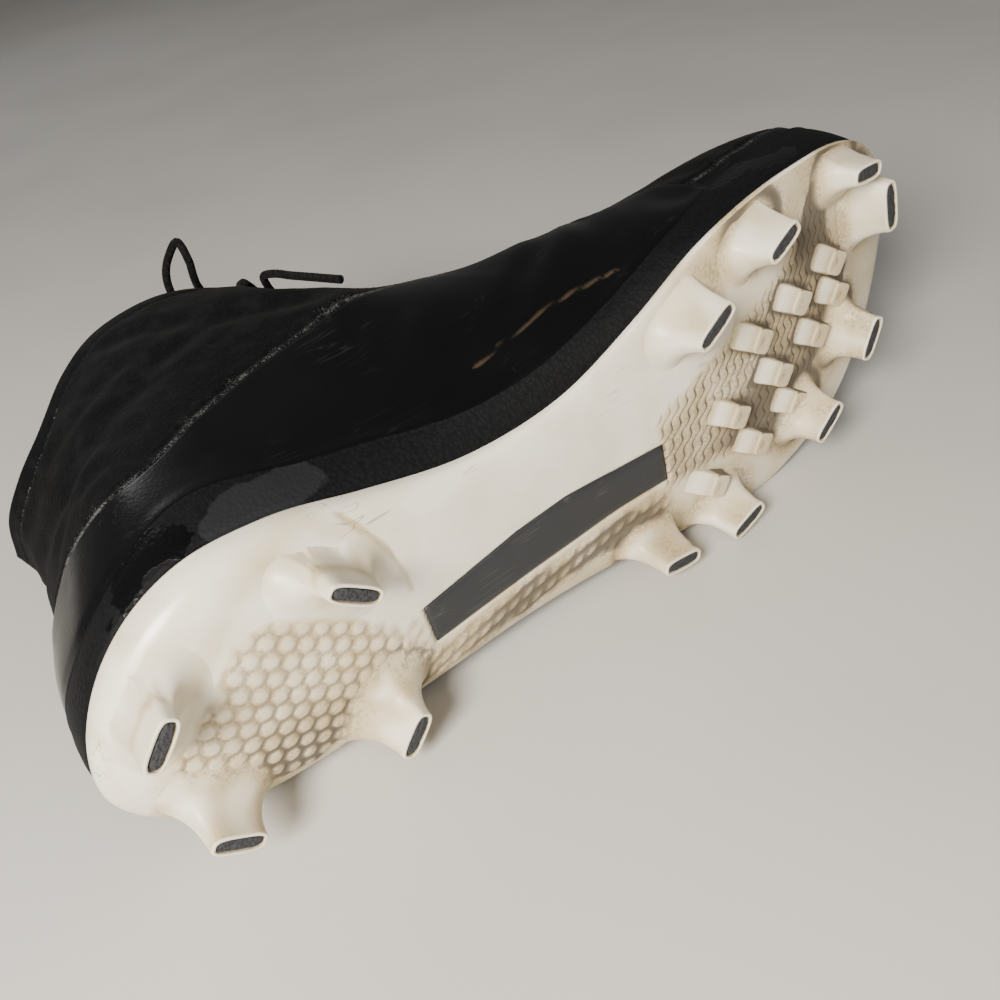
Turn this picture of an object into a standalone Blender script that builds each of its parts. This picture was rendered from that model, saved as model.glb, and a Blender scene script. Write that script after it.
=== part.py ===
"""A left mid-top baseball cleat with moulded studs, empty and lying on its lateral side.

The shoe is modelled upright in its own axes: X from the heel to the toe, Y towards the
lateral side and Z up from the plane of the stud tips. An empty then lays it on its side.
"""

import math
from collections import namedtuple

import bmesh
import bpy
import numpy as np
from mathutils import Matrix

# Driving dimensions, in metres
OUTSOLE_LENGTH = 0.298
BALL_WIDTH = 0.1042
ANKLE_WIDTH = 0.086
COLLAR_RISE = 0.151
BAND_RISE = 0.034
BAND_FLARE = 0.008
RIM_RISE = 0.015
TOE_SPRING = 0.012
PLATE_THICKNESS = 0.0028
RIM_WIDTH = 0.0024
MIDSOLE_THICKNESS = 0.0045
LIP_WIDTH = 0.0011
LIP_HEIGHT = 0.004
UPPER_WALL = 0.0022
COLLAR_WALL = 0.0065
OVERLAY_STEP = 0.0008
INSOLE_THICKNESS = 0.0035
TONGUE_THICKNESS = 0.0045
TONGUE_REACH = 0.016
STUD_HEIGHT = 0.012
STUD_LENGTH = 0.0155
STUD_WIDTH = 0.0058
STUD_RIM = 0.0009
PAD_THICKNESS = 0.0008
PAD_SINK = 0.0001
LUG_LENGTH = 0.0075
LUG_WIDTH = 0.0082
LUG_RAMP = 0.008
LUG_HEIGHT = 0.0035
INLAY_THICKNESS = 0.0010
LACE_DIAMETER = 0.0028
LACE_CLEARANCE = 0.0005
KNOT_SIZE = 0.011
KNOT_GAP = 0.0009
TONGUE_GAP = 0.0009
FIT_GAP = 0.0003
RIM_TRIM = 0.0015
RIM_OVERRUN = 0.002
BAND_INSET = 0.0006
BAND_GAP = 0.0005
BAND_BULGE = 0.0010
FLOOR_INSET = 0.0044
LUG_TURN = 35.0
SIDE_PRESS = 0.0010

# Points on each side of the closed loops that run round the shoe
SIDE_POINTS = 34

# Outline of the plate's top edge: along as a share of the length, the rest of the ball width
OutlineRow = namedtuple("OutlineRow", "along medial lateral")
OUTLINE = (
    OutlineRow(0.000, 0.000, 0.000),
    OutlineRow(0.010, 0.109, 0.108),
    OutlineRow(0.035, 0.220, 0.210),
    OutlineRow(0.080, 0.329, 0.299),
    OutlineRow(0.150, 0.399, 0.349),
    OutlineRow(0.220, 0.381, 0.363),
    OutlineRow(0.300, 0.309, 0.366),
    OutlineRow(0.400, 0.238, 0.375),
    OutlineRow(0.500, 0.244, 0.408),
    OutlineRow(0.600, 0.341, 0.463),
    OutlineRow(0.680, 0.438, 0.510),
    OutlineRow(0.740, 0.475, 0.523),
    OutlineRow(0.800, 0.487, 0.488),
    OutlineRow(0.870, 0.471, 0.408),
    OutlineRow(0.930, 0.400, 0.274),
    OutlineRow(0.970, 0.296, 0.128),
    OutlineRow(0.992, 0.182, -0.002),
    OutlineRow(1.000, 0.083, -0.083),
)

# Underside of the plate: lift above the stud height as a share of the toe spring
LiftRow = namedtuple("LiftRow", "along lift")
LIFT = (
    LiftRow(0.00, 0.083),
    LiftRow(0.10, 0.000),
    LiftRow(0.30, 0.125),
    LiftRow(0.50, 0.208),
    LiftRow(0.70, 0.000),
    LiftRow(0.80, 0.125),
    LiftRow(0.90, 0.500),
    LiftRow(1.00, 1.000),
)

# Side of the sole: rim as a share of the rim rise, band of the band rise, flare of the band flare
SideRow = namedtuple(
    "SideRow", "along rim_medial rim_lateral band_medial band_lateral flare_medial flare_lateral"
)
SIDES = (
    SideRow(0.00, 0.74, 0.74, 0.97, 0.97, -0.12, -0.12),
    SideRow(0.04, 0.87, 0.87, 0.83, 0.85, -0.06, -0.06),
    SideRow(0.08, 0.95, 0.92, 0.77, 0.80, 0.12, 0.12),
    SideRow(0.19, 0.91, 0.87, 0.92, 0.82, 0.52, 0.31),
    SideRow(0.26, 0.85, 0.80, 0.75, 0.76, 0.63, 0.38),
    SideRow(0.32, 0.73, 0.70, 0.66, 0.68, 0.88, 0.38),
    SideRow(0.43, 0.52, 0.57, 0.46, 0.59, 1.00, 0.31),
    SideRow(0.53, 0.36, 0.43, 0.36, 0.53, 0.94, 0.12),
    SideRow(0.61, 0.25, 0.30, 0.38, 0.53, 0.50, -0.12),
    SideRow(0.69, 0.19, 0.20, 0.44, 0.56, 0.06, -0.31),
    SideRow(0.77, 0.19, 0.19, 0.69, 0.65, -0.44, -0.44),
    SideRow(0.85, 0.24, 0.24, 0.76, 0.77, -0.40, -0.40),
    SideRow(0.93, 0.53, 0.53, 0.91, 0.91, 0.05, -0.10),
    SideRow(1.00, 1.00, 1.00, 1.03, 1.03, 0.12, 0.12),
)

# Walls of the upper by arc from heel to toe. The opening's edge: along as a share of the
# length, medial and lateral of half the ankle width, rise of the collar rise. The handles
# that shape the wall are shares of its height from band to opening.
WallRow = namedtuple(
    "WallRow", "arc along medial lateral rise low_out low_up high_out high_down"
)
WALLS = (
    WallRow(0.00, 0.034, 0.000, 0.000, 0.810, 0.00, 0.28, -0.12, 0.28),
    WallRow(0.05, 0.049, 0.326, 0.310, 0.790, 0.01, 0.28, -0.09, 0.28),
    WallRow(0.10, 0.080, 0.600, 0.560, 0.775, 0.02, 0.28, -0.05, 0.28),
    WallRow(0.16, 0.124, 0.800, 0.750, 0.808, 0.04, 0.29, 0.00, 0.28),
    WallRow(0.22, 0.173, 0.935, 0.870, 0.895, 0.05, 0.30, 0.03, 0.28),
    WallRow(0.28, 0.224, 1.000, 0.920, 0.965, 0.06, 0.30, 0.04, 0.29),
    WallRow(0.34, 0.279, 1.000, 0.920, 1.000, 0.06, 0.30, 0.05, 0.30),
    WallRow(0.40, 0.326, 0.958, 0.880, 1.006, 0.08, 0.29, 0.07, 0.28),
    WallRow(0.46, 0.366, 0.900, 0.820, 0.966, 0.10, 0.28, 0.09, 0.25),
    WallRow(0.52, 0.406, 0.810, 0.740, 0.885, 0.10, 0.28, 0.11, 0.22),
    WallRow(0.60, 0.468, 0.600, 0.560, 0.776, 0.08, 0.28, 0.11, 0.18),
    WallRow(0.68, 0.530, 0.500, 0.470, 0.634, 0.06, 0.28, 0.12, 0.14),
    WallRow(0.76, 0.587, 0.430, 0.400, 0.514, 0.05, 0.28, 0.15, 0.10),
    WallRow(0.84, 0.641, 0.350, 0.330, 0.456, 0.05, 0.26, 0.20, 0.08),
    WallRow(0.92, 0.678, 0.210, 0.200, 0.424, 0.05, 0.22, 0.35, 0.08),
    WallRow(1.00, 0.691, 0.000, 0.000, 0.412, 0.05, 0.20, 0.48, 0.06),
)

# Upper edge of the glossy quarter: along as a share of the length, rise of the collar rise
SeamRow = namedtuple("SeamRow", "along rise")
SEAM = (
    SeamRow(0.000, 0.400),
    SeamRow(0.055, 0.370),
    SeamRow(0.115, 0.335),
    SeamRow(0.168, 0.325),
    SeamRow(0.245, 0.400),
    SeamRow(0.315, 0.470),
    SeamRow(0.395, 0.495),
    SeamRow(0.450, 0.505),
    SeamRow(0.500, 0.500),
    SeamRow(0.565, 0.417),
    SeamRow(0.635, 0.345),
    SeamRow(0.705, 0.280),
    SeamRow(0.745, 0.240),
    SeamRow(0.775, 0.150),
    SeamRow(1.000, 0.150),
)

# Studs: place as shares of the length and the ball width, turn in degrees from the length,
# lift of the tip above the stud plane as a share of the stud height
StudRow = namedtuple("StudRow", "along across turn size lift")
STUDS = (
    StudRow(0.239, -0.248, 45, 1.00, 0.00),
    StudRow(0.062, -0.214, -45, 0.95, 0.00),
    StudRow(0.063, 0.186, 42, 0.95, 0.00),
    StudRow(0.233, 0.276, -46, 0.92, 0.00),
    StudRow(0.563, 0.402, 14, 0.95, 0.00),
    StudRow(0.661, 0.445, -17, 0.95, 0.00),
    StudRow(0.795, 0.311, -38, 0.95, 0.00),
    StudRow(0.873, 0.132, -62, 0.95, 0.12),
    StudRow(0.741, -0.394, -27, 0.85, 0.04),
    StudRow(0.645, -0.290, -29, 1.00, 0.00),
    StudRow(0.880, -0.397, 6, 0.75, 0.42),
    StudRow(0.921, -0.237, 84, 1.10, 0.50),
)

# Flank of a stud: height as a share of its height, long and wide as shares of its tip, and
# lean towards the middle of the sole as a share of its height
FlankRow = namedtuple("FlankRow", "height long wide lean")
FLANKS = (
    FlankRow(0.10, 1.03, 1.08, 0.00),
    FlankRow(0.50, 1.12, 1.40, 0.05),
    FlankRow(0.78, 1.36, 1.95, 0.12),
    FlankRow(1.00, 1.80, 2.70, 0.20),
    FlankRow(1.30, 1.85, 2.60, 0.25),
    FlankRow(1.90, 0.80, 1.00, 0.30),
)

# Steps of a lug: height as a share of its height, long and wide as shares of its flat top,
# back as a share of the ramp that climbs from the heel side to that top
LugStep = namedtuple("LugStep", "height long wide back")
LUG_STEPS = (
    LugStep(0.00, 0.84, 0.86, 0.00),
    LugStep(0.12, 1.00, 1.00, 0.04),
    LugStep(0.95, 1.06, 1.16, 0.92),
    LugStep(1.35, 1.10, 1.22, 1.12),
)

# Ramped lugs between the forefoot studs
LugRow = namedtuple("LugRow", "along across")
LUGS = (
    LugRow(0.864, -0.117),
    LugRow(0.798, -0.090),
    LugRow(0.734, -0.065),
    LugRow(0.869, 0.002),
    LugRow(0.828, 0.078),
    LugRow(0.762, 0.105),
    LugRow(0.692, 0.134),
    LugRow(0.784, 0.256),
    LugRow(0.722, 0.297),
    LugRow(0.653, 0.330),
)

# Dark inlay strip of the midfoot, its two long edges as shares of the ball width
InlayRow = namedtuple("InlayRow", "along medial lateral")
INLAY = (
    InlayRow(0.300, 0.048, 0.175),
    InlayRow(0.352, 0.038, 0.178),
    InlayRow(0.412, 0.027, 0.184),
    InlayRow(0.474, 0.031, 0.192),
    InlayRow(0.537, 0.058, 0.195),
    InlayRow(0.596, 0.077, 0.206),
)

# Stations of the eyelet rows, by arc from heel to toe, and their share of the wall's height
EYELET_ARCS = (0.93, 0.86, 0.79, 0.72, 0.65, 0.58, 0.51)
EYELET_HEIGHT = 0.93

# Length of the knot as a share of its width
KNOT_FLATNESS = 0.85

# Height of the tongue's and the laces' middle as a share of the throat's width
TONGUE_CROWN = 0.07
LACE_CROWN = 0.045

# Margins of the tongue under the throat's edges, as shares of the wall's height
TONGUE_MARGINS = (0.80, 0.90, 0.98)
TONGUE_TOP_ARC = 0.42

# Guide points of the bow beyond the knot: along as a share of the length, across as a share
# of half the ankle width, rise of the collar rise
BowRow = namedtuple("BowRow", "along across rise")
LOOP_MEDIAL = (
    BowRow(0.376, -0.33, 0.997),
    BowRow(0.351, -0.56, 1.013),
    BowRow(0.336, -0.77, 1.033),
    BowRow(0.334, -0.93, 1.036),
    BowRow(0.339, -1.08, 1.030),
    BowRow(0.349, -1.20, 1.017),
    BowRow(0.362, -1.29, 1.003),
    BowRow(0.363, -1.19, 0.983),
    BowRow(0.361, -1.05, 0.983),
    BowRow(0.362, -0.90, 1.010),
    BowRow(0.371, -0.67, 1.000),
    BowRow(0.389, -0.40, 0.977),
)
LOOP_LATERAL = (
    BowRow(0.376, 0.30, 0.997),
    BowRow(0.351, 0.51, 1.013),
    BowRow(0.339, 0.72, 1.033),
    BowRow(0.347, 0.84, 1.030),
    BowRow(0.362, 0.77, 1.013),
    BowRow(0.379, 0.58, 0.990),
    BowRow(0.398, 0.37, 0.974),
)
END_MEDIAL = (
    BowRow(0.436, -0.33, 0.927),
    BowRow(0.433, -0.56, 0.911),
    BowRow(0.424, -0.74, 0.897),
    BowRow(0.419, -0.88, 0.881),
    BowRow(0.423, -0.94, 0.844),
    BowRow(0.436, -0.95, 0.775),
    BowRow(0.463, -0.95, 0.649),
)
END_LATERAL = (
    BowRow(0.436, 0.33, 0.927),
    BowRow(0.433, 0.56, 0.911),
    BowRow(0.424, 0.72, 0.897),
    BowRow(0.419, 0.85, 0.881),
    BowRow(0.424, 0.91, 0.841),
    BowRow(0.436, 0.92, 0.781),
    BowRow(0.456, 0.92, 0.702),
)

COLOURS = {
    "outsole": ((0.78, 0.75, 0.69), 0.35),
    "stud_tip": ((0.05, 0.05, 0.055), 0.85),
    "shank_inlay": ((0.06, 0.06, 0.065), 0.55),
    "midsole": ((0.10, 0.10, 0.11), 0.6),
    "upper": ((0.015, 0.015, 0.017), 0.3),
    "tongue": ((0.02, 0.02, 0.022), 0.8),
    "insole": ((0.05, 0.05, 0.055), 0.9),
    "lace": ((0.02, 0.02, 0.022), 0.8),
}
DENSITIES = {
    "outsole": 1000.0,
    "stud_tip": 1150.0,
    "shank_inlay": 1150.0,
    "midsole": 350.0,
    "upper": 500.0,
    "tongue": 250.0,
    "insole": 150.0,
    "lace": 500.0,
}


def read(rows, column, at):
    """Smooth value of a table's column at places along its first column."""
    keys = np.array([row[0] for row in rows])
    values = np.array([getattr(row, column) for row in rows])
    slopes = np.gradient(values, keys)
    at = np.clip(np.asarray(at, float), keys[0], keys[-1])
    i = np.clip(np.searchsorted(keys, at) - 1, 0, len(keys) - 2)
    return hermite(at, keys[i], keys[i + 1], values[i], values[i + 1], slopes[i], slopes[i + 1])


def hermite(at, k0, k1, v0, v1, m0, m1):
    """Cubic between two keys with a given value and slope at each."""
    h = k1 - k0
    t = (at - k0) / h
    a = (1 + 2 * t) * (1 - t) ** 2
    b = t * (1 - t) ** 2
    c = t * t * (3 - 2 * t)
    d = t * t * (t - 1)
    return a * v0 + b * h * m0 + c * v1 + d * h * m1


def smoothstep(value, low, high):
    t = np.clip((np.asarray(value, float) - low) / (high - low), 0, 1)
    return t * t * (3 - 2 * t)


def unit(vectors):
    return vectors / np.maximum(np.linalg.norm(vectors, axis=-1, keepdims=True), 1e-12)


class Perimeter:
    """Stations round the shoe: heel, medial side, toe, lateral side, back to the heel."""

    def __init__(self, side_points):
        self.n = side_points
        edge = self.dense_outline()
        closed = np.vstack([edge, edge[:1]])
        arc = np.concatenate([[0], np.cumsum(np.linalg.norm(np.diff(closed, axis=0), axis=1))])
        toe = arc[np.argmax(edge[:, 0])]
        medial = np.linspace(0, toe, side_points + 1)
        lateral = np.linspace(toe, arc[-1], side_points + 1)[1:-1]
        where = np.concatenate([medial, lateral])
        self.x = np.interp(where, arc, closed[:, 0])
        self.y = np.interp(where, arc, closed[:, 1])
        self.u = np.clip(self.x / OUTSOLE_LENGTH, 0, 1)
        index = np.arange(2 * side_points)
        self.arc = np.where(index <= side_points, index, 2 * side_points - index) / side_points
        self.lateral = index > side_points
        flat = np.stack([self.x, self.y], axis=1)
        along = np.roll(flat, -1, axis=0) - np.roll(flat, 1, axis=0)
        self.out = unit(np.stack([along[:, 1], -along[:, 0], 0 * along[:, 0]], axis=1)) * -1
        if self.out[0, 0] > 0:
            self.out *= -1

    @staticmethod
    def dense_outline(steps=400):
        """The plate's top edge as a closed smooth curve in plan, heel first, medial side first."""
        medial = [(r.along * OUTSOLE_LENGTH, -r.medial * BALL_WIDTH) for r in OUTLINE]
        lateral = [(r.along * OUTSOLE_LENGTH, r.lateral * BALL_WIDTH) for r in OUTLINE[1:-1]]
        points = np.array(medial + lateral[::-1])
        count = len(points)
        wrapped = np.vstack([points[-3:], points, points[:4]])
        keys = np.concatenate([[0], np.cumsum(np.linalg.norm(np.diff(wrapped, axis=0), axis=1))])
        slopes = np.stack([np.gradient(wrapped[:, c], keys) for c in (0, 1)], axis=1)
        at = np.linspace(keys[3], keys[3 + count], steps, endpoint=False)
        i = np.clip(np.searchsorted(keys, at, side="right") - 1, 0, len(keys) - 2)
        return np.stack(
            [
                hermite(
                    at, keys[i], keys[i + 1], wrapped[i, c], wrapped[i + 1, c],
                    slopes[i, c], slopes[i + 1, c],
                )
                for c in (0, 1)
            ],
            axis=1,
        )

    def side(self, rows, name, at):
        """A medial or lateral column, whichever side each station is on."""
        medial = read(rows, name + "medial", at)
        return np.where(self.lateral, read(rows, name + "lateral", at), medial)


def plate_bottom(x):
    """Height of the plate's underside on its flat middle."""
    return STUD_HEIGHT + TOE_SPRING * read(LIFT, "lift", x / OUTSOLE_LENGTH)


def spine(p):
    """The line in the middle of the sole that the rings of floor points shrink to."""
    x = OUTSOLE_LENGTH * (0.10 + 0.78 * p.u)
    middle = (read(OUTLINE, "lateral", p.u) - read(OUTLINE, "medial", p.u)) / 2
    return np.stack([x, middle * BALL_WIDTH], axis=1)


def plate_ring(p, share, inset=0.0, raise_by=0.0):
    """Ring of the plate's underside at a share of the way from its spine to its edge."""
    edge = np.stack([p.x, p.y], axis=1) - p.out[:, :2] * inset
    middle = spine(p)
    flat = middle + share * (edge - middle)
    rim = STUD_HEIGHT + RIM_RISE * p.side(SIDES, "rim_", p.u)
    base = plate_bottom(flat[:, 0])
    climb = rim - plate_bottom(edge[:, 0]) - raise_by
    rise = 1 - (1 - share**2.6) ** (1 / 2.6)
    return np.column_stack([flat, base + raise_by + climb * rise])


def band_top(p):
    """Outer edge of the midsole band's top."""
    flare = BAND_FLARE * p.side(SIDES, "flare_", p.u)
    flat = np.column_stack([p.x, p.y, 0 * p.x]) + p.out * flare[:, None]
    flat[:, 2] = STUD_HEIGHT + BAND_RISE * p.side(SIDES, "band_", p.u)
    return flat


def lip_slope(p):
    """How far the band's side moves from its top to the foot of the lip."""
    fall = plate_ring(p, 1.0) - band_top(p)
    return fall * (LIP_HEIGHT / np.linalg.norm(fall, axis=1))[:, None]


class UpperShape:
    """Walls of the upper as curves from the midsole's lip to the edge of the opening."""

    def __init__(self, p):
        self.p = p
        foot = band_top(p) - p.out * (LIP_WIDTH + FIT_GAP)
        side = np.where(p.lateral, 1.0, -1.0)
        reach = p.side(WALLS, "", p.arc) * ANKLE_WIDTH / 2
        top = np.column_stack(
            [
                read(WALLS, "along", p.arc) * OUTSOLE_LENGTH,
                side * reach,
                STUD_HEIGHT + COLLAR_RISE * read(WALLS, "rise", p.arc),
            ]
        )
        chord = np.linalg.norm(top - foot, axis=1)
        up = np.array([0.0, 0.0, 1.0])
        low = p.out * read(WALLS, "low_out", p.arc)[:, None] + up * read(WALLS, "low_up", p.arc)[:, None]
        high = (
            p.out * read(WALLS, "high_out", p.arc)[:, None]
            - up * read(WALLS, "high_down", p.arc)[:, None]
        )
        self.curve = (foot, foot + low * chord[:, None], top + high * chord[:, None], top)

    def at(self, t):
        """Points of the outer surface, one for each station."""
        t = np.broadcast_to(np.asarray(t, float), self.p.x.shape)[:, None]
        a, b, c, d = self.curve
        return (1 - t) ** 3 * a + 3 * t * (1 - t) ** 2 * b + 3 * t * t * (1 - t) * c + t**3 * d

    def normal(self, t):
        """Outward unit normals."""
        t = np.broadcast_to(np.asarray(t, float), self.p.x.shape)
        here = self.at(t)
        step = 0.01
        rise = self.at(np.minimum(t + step, 1)) - self.at(np.maximum(t - step, 0))
        round_ = np.roll(here, -1, axis=0) - np.roll(here, 1, axis=0)
        normal = unit(np.cross(rise, round_))
        return normal * np.sign((normal * self.p.out).sum(axis=1, keepdims=True).mean() or 1)

    def seam(self):
        """Share of each wall at which the overlay's upper edge runs."""
        low = np.zeros_like(self.p.x)
        high = np.ones_like(self.p.x)
        for _ in range(30):
            middle = (low + high) / 2
            point = self.at(middle)
            line = STUD_HEIGHT + COLLAR_RISE * read(SEAM, "rise", point[:, 0] / OUTSOLE_LENGTH)
            below = point[:, 2] < line
            low = np.where(below, middle, low)
            high = np.where(below, high, middle)
        return np.maximum((low + high) / 2, 0.08)

    def wall(self, t):
        """Thickness of the wall: plain below, padded towards the collar."""
        rear = 1 - smoothstep(self.p.arc, 0.40, 0.52)
        return UPPER_WALL + (COLLAR_WALL - UPPER_WALL) * rear * smoothstep(t, 0.55, 0.9)

    def inner(self, t, gap=0.0):
        """Points of the inner surface, or of one that stays a gap inside it."""
        return self.at(t) - self.normal(t) * (self.wall(t) + gap)[:, None]


def clear_scene():
    """Empties the file before anything is built."""
    for obj in list(bpy.data.objects):
        bpy.data.objects.remove(obj)


def build_object(name, verts, faces, kind):
    mesh = bpy.data.meshes.new(name)
    mesh.from_pydata([tuple(v) for v in verts], [], faces)
    work = bmesh.new()
    work.from_mesh(mesh)
    bmesh.ops.remove_doubles(work, verts=work.verts, dist=1e-6)
    bmesh.ops.recalc_face_normals(work, faces=work.faces)
    work.to_mesh(mesh)
    work.free()
    mesh.shade_smooth()
    mesh.set_sharp_from_angle(angle=math.radians(40))
    obj = bpy.data.objects.new(name, mesh)
    bpy.context.scene.collection.objects.link(obj)
    obj.data.materials.append(material(kind))
    obj["kind"] = kind
    return obj


def material(kind):
    found = bpy.data.materials.get(kind)
    if found:
        return found
    colour, roughness = COLOURS[kind]
    made = bpy.data.materials.new(kind)
    made.use_nodes = True
    shader = made.node_tree.nodes["Principled BSDF"]
    shader.inputs["Base Color"].default_value = (*colour, 1.0)
    shader.inputs["Roughness"].default_value = roughness
    return made


def ring_faces(a, b, count):
    """Quads between two rings that start at vertex a and b."""
    return [(a + i, a + (i + 1) % count, b + (i + 1) % count, b + i) for i in range(count)]


def ladder_faces(start, count):
    """Fills a ring with rungs from each medial station to the lateral one across from it."""
    half = count // 2
    faces = [(start, start + 1, start + count - 1)]
    for i in range(1, half - 1):
        faces.append((start + i, start + i + 1, start + count - i - 1, start + count - i))
    faces.append((start + half - 1, start + half, start + half + 1))
    return faces


def ring_solid_parts(rings, closed=False):
    """Vertices and faces of a skin through the rings in turn, its ends filled or joined."""
    count = len(rings[0])
    faces = []
    for k in range(len(rings) - 1):
        faces += ring_faces(k * count, (k + 1) * count, count)
    if closed:
        faces += ring_faces((len(rings) - 1) * count, 0, count)
    else:
        faces += ladder_faces(0, count)
        faces += ladder_faces((len(rings) - 1) * count, count)
    return np.vstack(rings), faces


def solid_of_rings(name, rings, kind, closed=False):
    return build_object(name, *ring_solid_parts(rings, closed), kind)


def solid_of_sheet(name, top, bottom, kind):
    """A solid between two grids of points of the same shape."""
    rows, cols = top.shape[:2]
    verts = np.vstack([top.reshape(-1, 3), bottom.reshape(-1, 3)])
    under = rows * cols
    faces = []
    for r in range(rows - 1):
        for c in range(cols - 1):
            a = r * cols + c
            faces.append((a, a + 1, a + cols + 1, a + cols))
            faces.append((under + a, under + a + cols, under + a + cols + 1, under + a + 1))
    border = [(0, c) for c in range(cols)] + [(r, cols - 1) for r in range(1, rows)]
    border += [(rows - 1, c) for c in range(cols - 2, -1, -1)] + [(r, 0) for r in range(rows - 2, 0, -1)]
    loop = [r * cols + c for r, c in border]
    for a, b in zip(loop, loop[1:] + loop[:1]):
        faces.append((a, b, b + under, a + under))
    return build_object(name, verts, faces, kind)


def oval_ring(centre, length, width, turn, z, corners=16, squareness=3.2):
    """A flat ring like a rounded bar, long axis at the turn angle."""
    angle = (np.arange(corners) + 0.5) * 2 * math.pi / corners
    c, s = np.cos(angle), np.sin(angle)
    a = np.sign(c) * np.abs(c) ** (2 / squareness) * length / 2
    b = np.sign(s) * np.abs(s) ** (2 / squareness) * width / 2
    turn = math.radians(turn)
    x = centre[0] + a * math.cos(turn) - b * math.sin(turn)
    y = centre[1] + a * math.sin(turn) + b * math.cos(turn)
    return np.column_stack([x, y, np.full(corners, z)])


def plain_loft(rings):
    """Vertices and faces of a loft through rings of equal counts with flat ends."""
    count = len(rings[0])
    faces = []
    for k in range(len(rings) - 1):
        faces += ring_faces(k * count, (k + 1) * count, count)
    faces.append(tuple(range(count)))
    faces.append(tuple((len(rings) - 1) * count + i for i in range(count)))
    return np.vstack(rings), faces


def place(row):
    """Where a stud or a lug stands in plan."""
    return np.array([row.along * OUTSOLE_LENGTH, row.across * BALL_WIDTH])


def stud_tip_rings(row, grow, low, high):
    """The recess in a stud's tip, or the pad in it, between two heights above the tip."""
    length = STUD_LENGTH * row.size - 2 * STUD_RIM + 2 * grow
    width = STUD_WIDTH - 2 * STUD_RIM + 2 * grow
    tip = row.lift * STUD_HEIGHT
    return [oval_ring(place(row), length, width, row.turn, tip + z) for z in (low, high)]


def stud_loft(row):
    """A blade with a recessed tip, a short steep flank and a flared root."""
    tip = place(row)
    middle = np.array([tip[0] * 0.92 + 0.010, 0.0])
    inward = unit(middle - tip)
    lift = row.lift * STUD_HEIGHT
    height = float(plate_bottom(tip[0])) - lift
    length = STUD_LENGTH * row.size
    floor = PAD_THICKNESS + PAD_SINK + FIT_GAP
    rings = stud_tip_rings(row, 0.0, floor, 0.0)
    rings.append(oval_ring(tip, length, STUD_WIDTH, row.turn, lift))
    for flank in FLANKS:
        centre = tip + inward * flank.lean * height
        z = lift + flank.height * height
        rings.append(oval_ring(centre, length * flank.long, STUD_WIDTH * flank.wide, row.turn, z))
    return plain_loft(rings)


def lug_loft(row):
    """A lug with a flat top, a steep toe side and a ramp on its heel side."""
    middle = place(row)
    base = float(plate_bottom(middle[0]))
    turn = math.radians(LUG_TURN)
    ahead = np.array([math.cos(turn), math.sin(turn)])
    rings = []
    for step in LUG_STEPS:
        ramp = LUG_RAMP * step.back
        centre = middle - ahead * ramp / 2
        length = LUG_LENGTH * step.long + ramp
        width = LUG_WIDTH * step.wide
        z = base + LUG_HEIGHT * (step.height - 1)
        rings.append(oval_ring(centre, length, width, LUG_TURN, z, corners=8, squareness=5.0))
    return plain_loft(rings)


def combine(target, operation, verts, faces):
    """Joins a helper solid to the target, or cuts it out, and keeps only the result."""
    helper = build_object("helper", verts, faces, target["kind"])
    helper.hide_render = True
    helper.display_type = "WIRE"
    change = target.modifiers.new(operation.lower(), "BOOLEAN")
    change.operation = operation
    change.object = helper
    bpy.context.view_layer.update()
    graph = bpy.context.evaluated_depsgraph_get()
    mesh = bpy.data.meshes.new_from_object(target.evaluated_get(graph))
    target.modifiers.clear()
    old = target.data
    target.data = mesh
    bpy.data.meshes.remove(old)
    bpy.data.objects.remove(helper)


def inlay_loft(gap, below, above):
    """The midfoot strip, grown by a gap, from below to above the plate's underside."""
    rings = []
    for row in INLAY:
        x = row.along * OUTSOLE_LENGTH
        if row is INLAY[0]:
            x -= gap
        if row is INLAY[-1]:
            x += gap
        z = float(plate_bottom(x))
        low = row.medial * BALL_WIDTH - gap
        high = row.lateral * BALL_WIDTH + gap
        corners = [(x, low, z - below), (x, high, z - below), (x, high, z + above), (x, low, z + above)]
        rings.append(np.array(corners))
    return plain_loft(rings)


def make_outsole(p):
    """The white plate with its rim, studs and lugs, and a pocket for the inlay."""
    rings = [plate_ring(p, share) for share in (0.35, 0.60, 0.80, 0.91, 0.97, 1.0)]
    rings[-1][:, 2] += RIM_TRIM
    body = solid_of_rings("outsole", rings, "outsole")
    for row in STUDS:
        combine(body, "UNION", *stud_loft(row))
    for row in LUGS:
        combine(body, "UNION", *lug_loft(row))
    tray = [plate_ring(p, share, RIM_WIDTH, PLATE_THICKNESS) for share in (0.35, 0.7, 0.9, 1.0)]
    brim = tray[-1] + p.out * (RIM_WIDTH + STUD_LENGTH + RIM_OVERRUN)
    sky = brim.copy()
    sky[:, 2] = COLLAR_RISE
    combine(body, "DIFFERENCE", *ring_solid_parts(tray + [brim, sky]))
    combine(body, "DIFFERENCE", *inlay_loft(FIT_GAP, PLATE_THICKNESS, INLAY_THICKNESS + FIT_GAP))
    return body


def make_stud_pads():
    """The dark pad in the tip of each stud."""
    for number, row in enumerate(STUDS, 1):
        rings = stud_tip_rings(row, -FIT_GAP, PAD_SINK, PAD_SINK + PAD_THICKNESS)
        build_object(f"stud_tip_{number:02d}", *plain_loft(rings), "stud_tip")


def make_inlay():
    """The dark strip beside the arch."""
    build_object("shank_inlay", *inlay_loft(0.0, 0.0, INLAY_THICKNESS), "shank_inlay")


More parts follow.
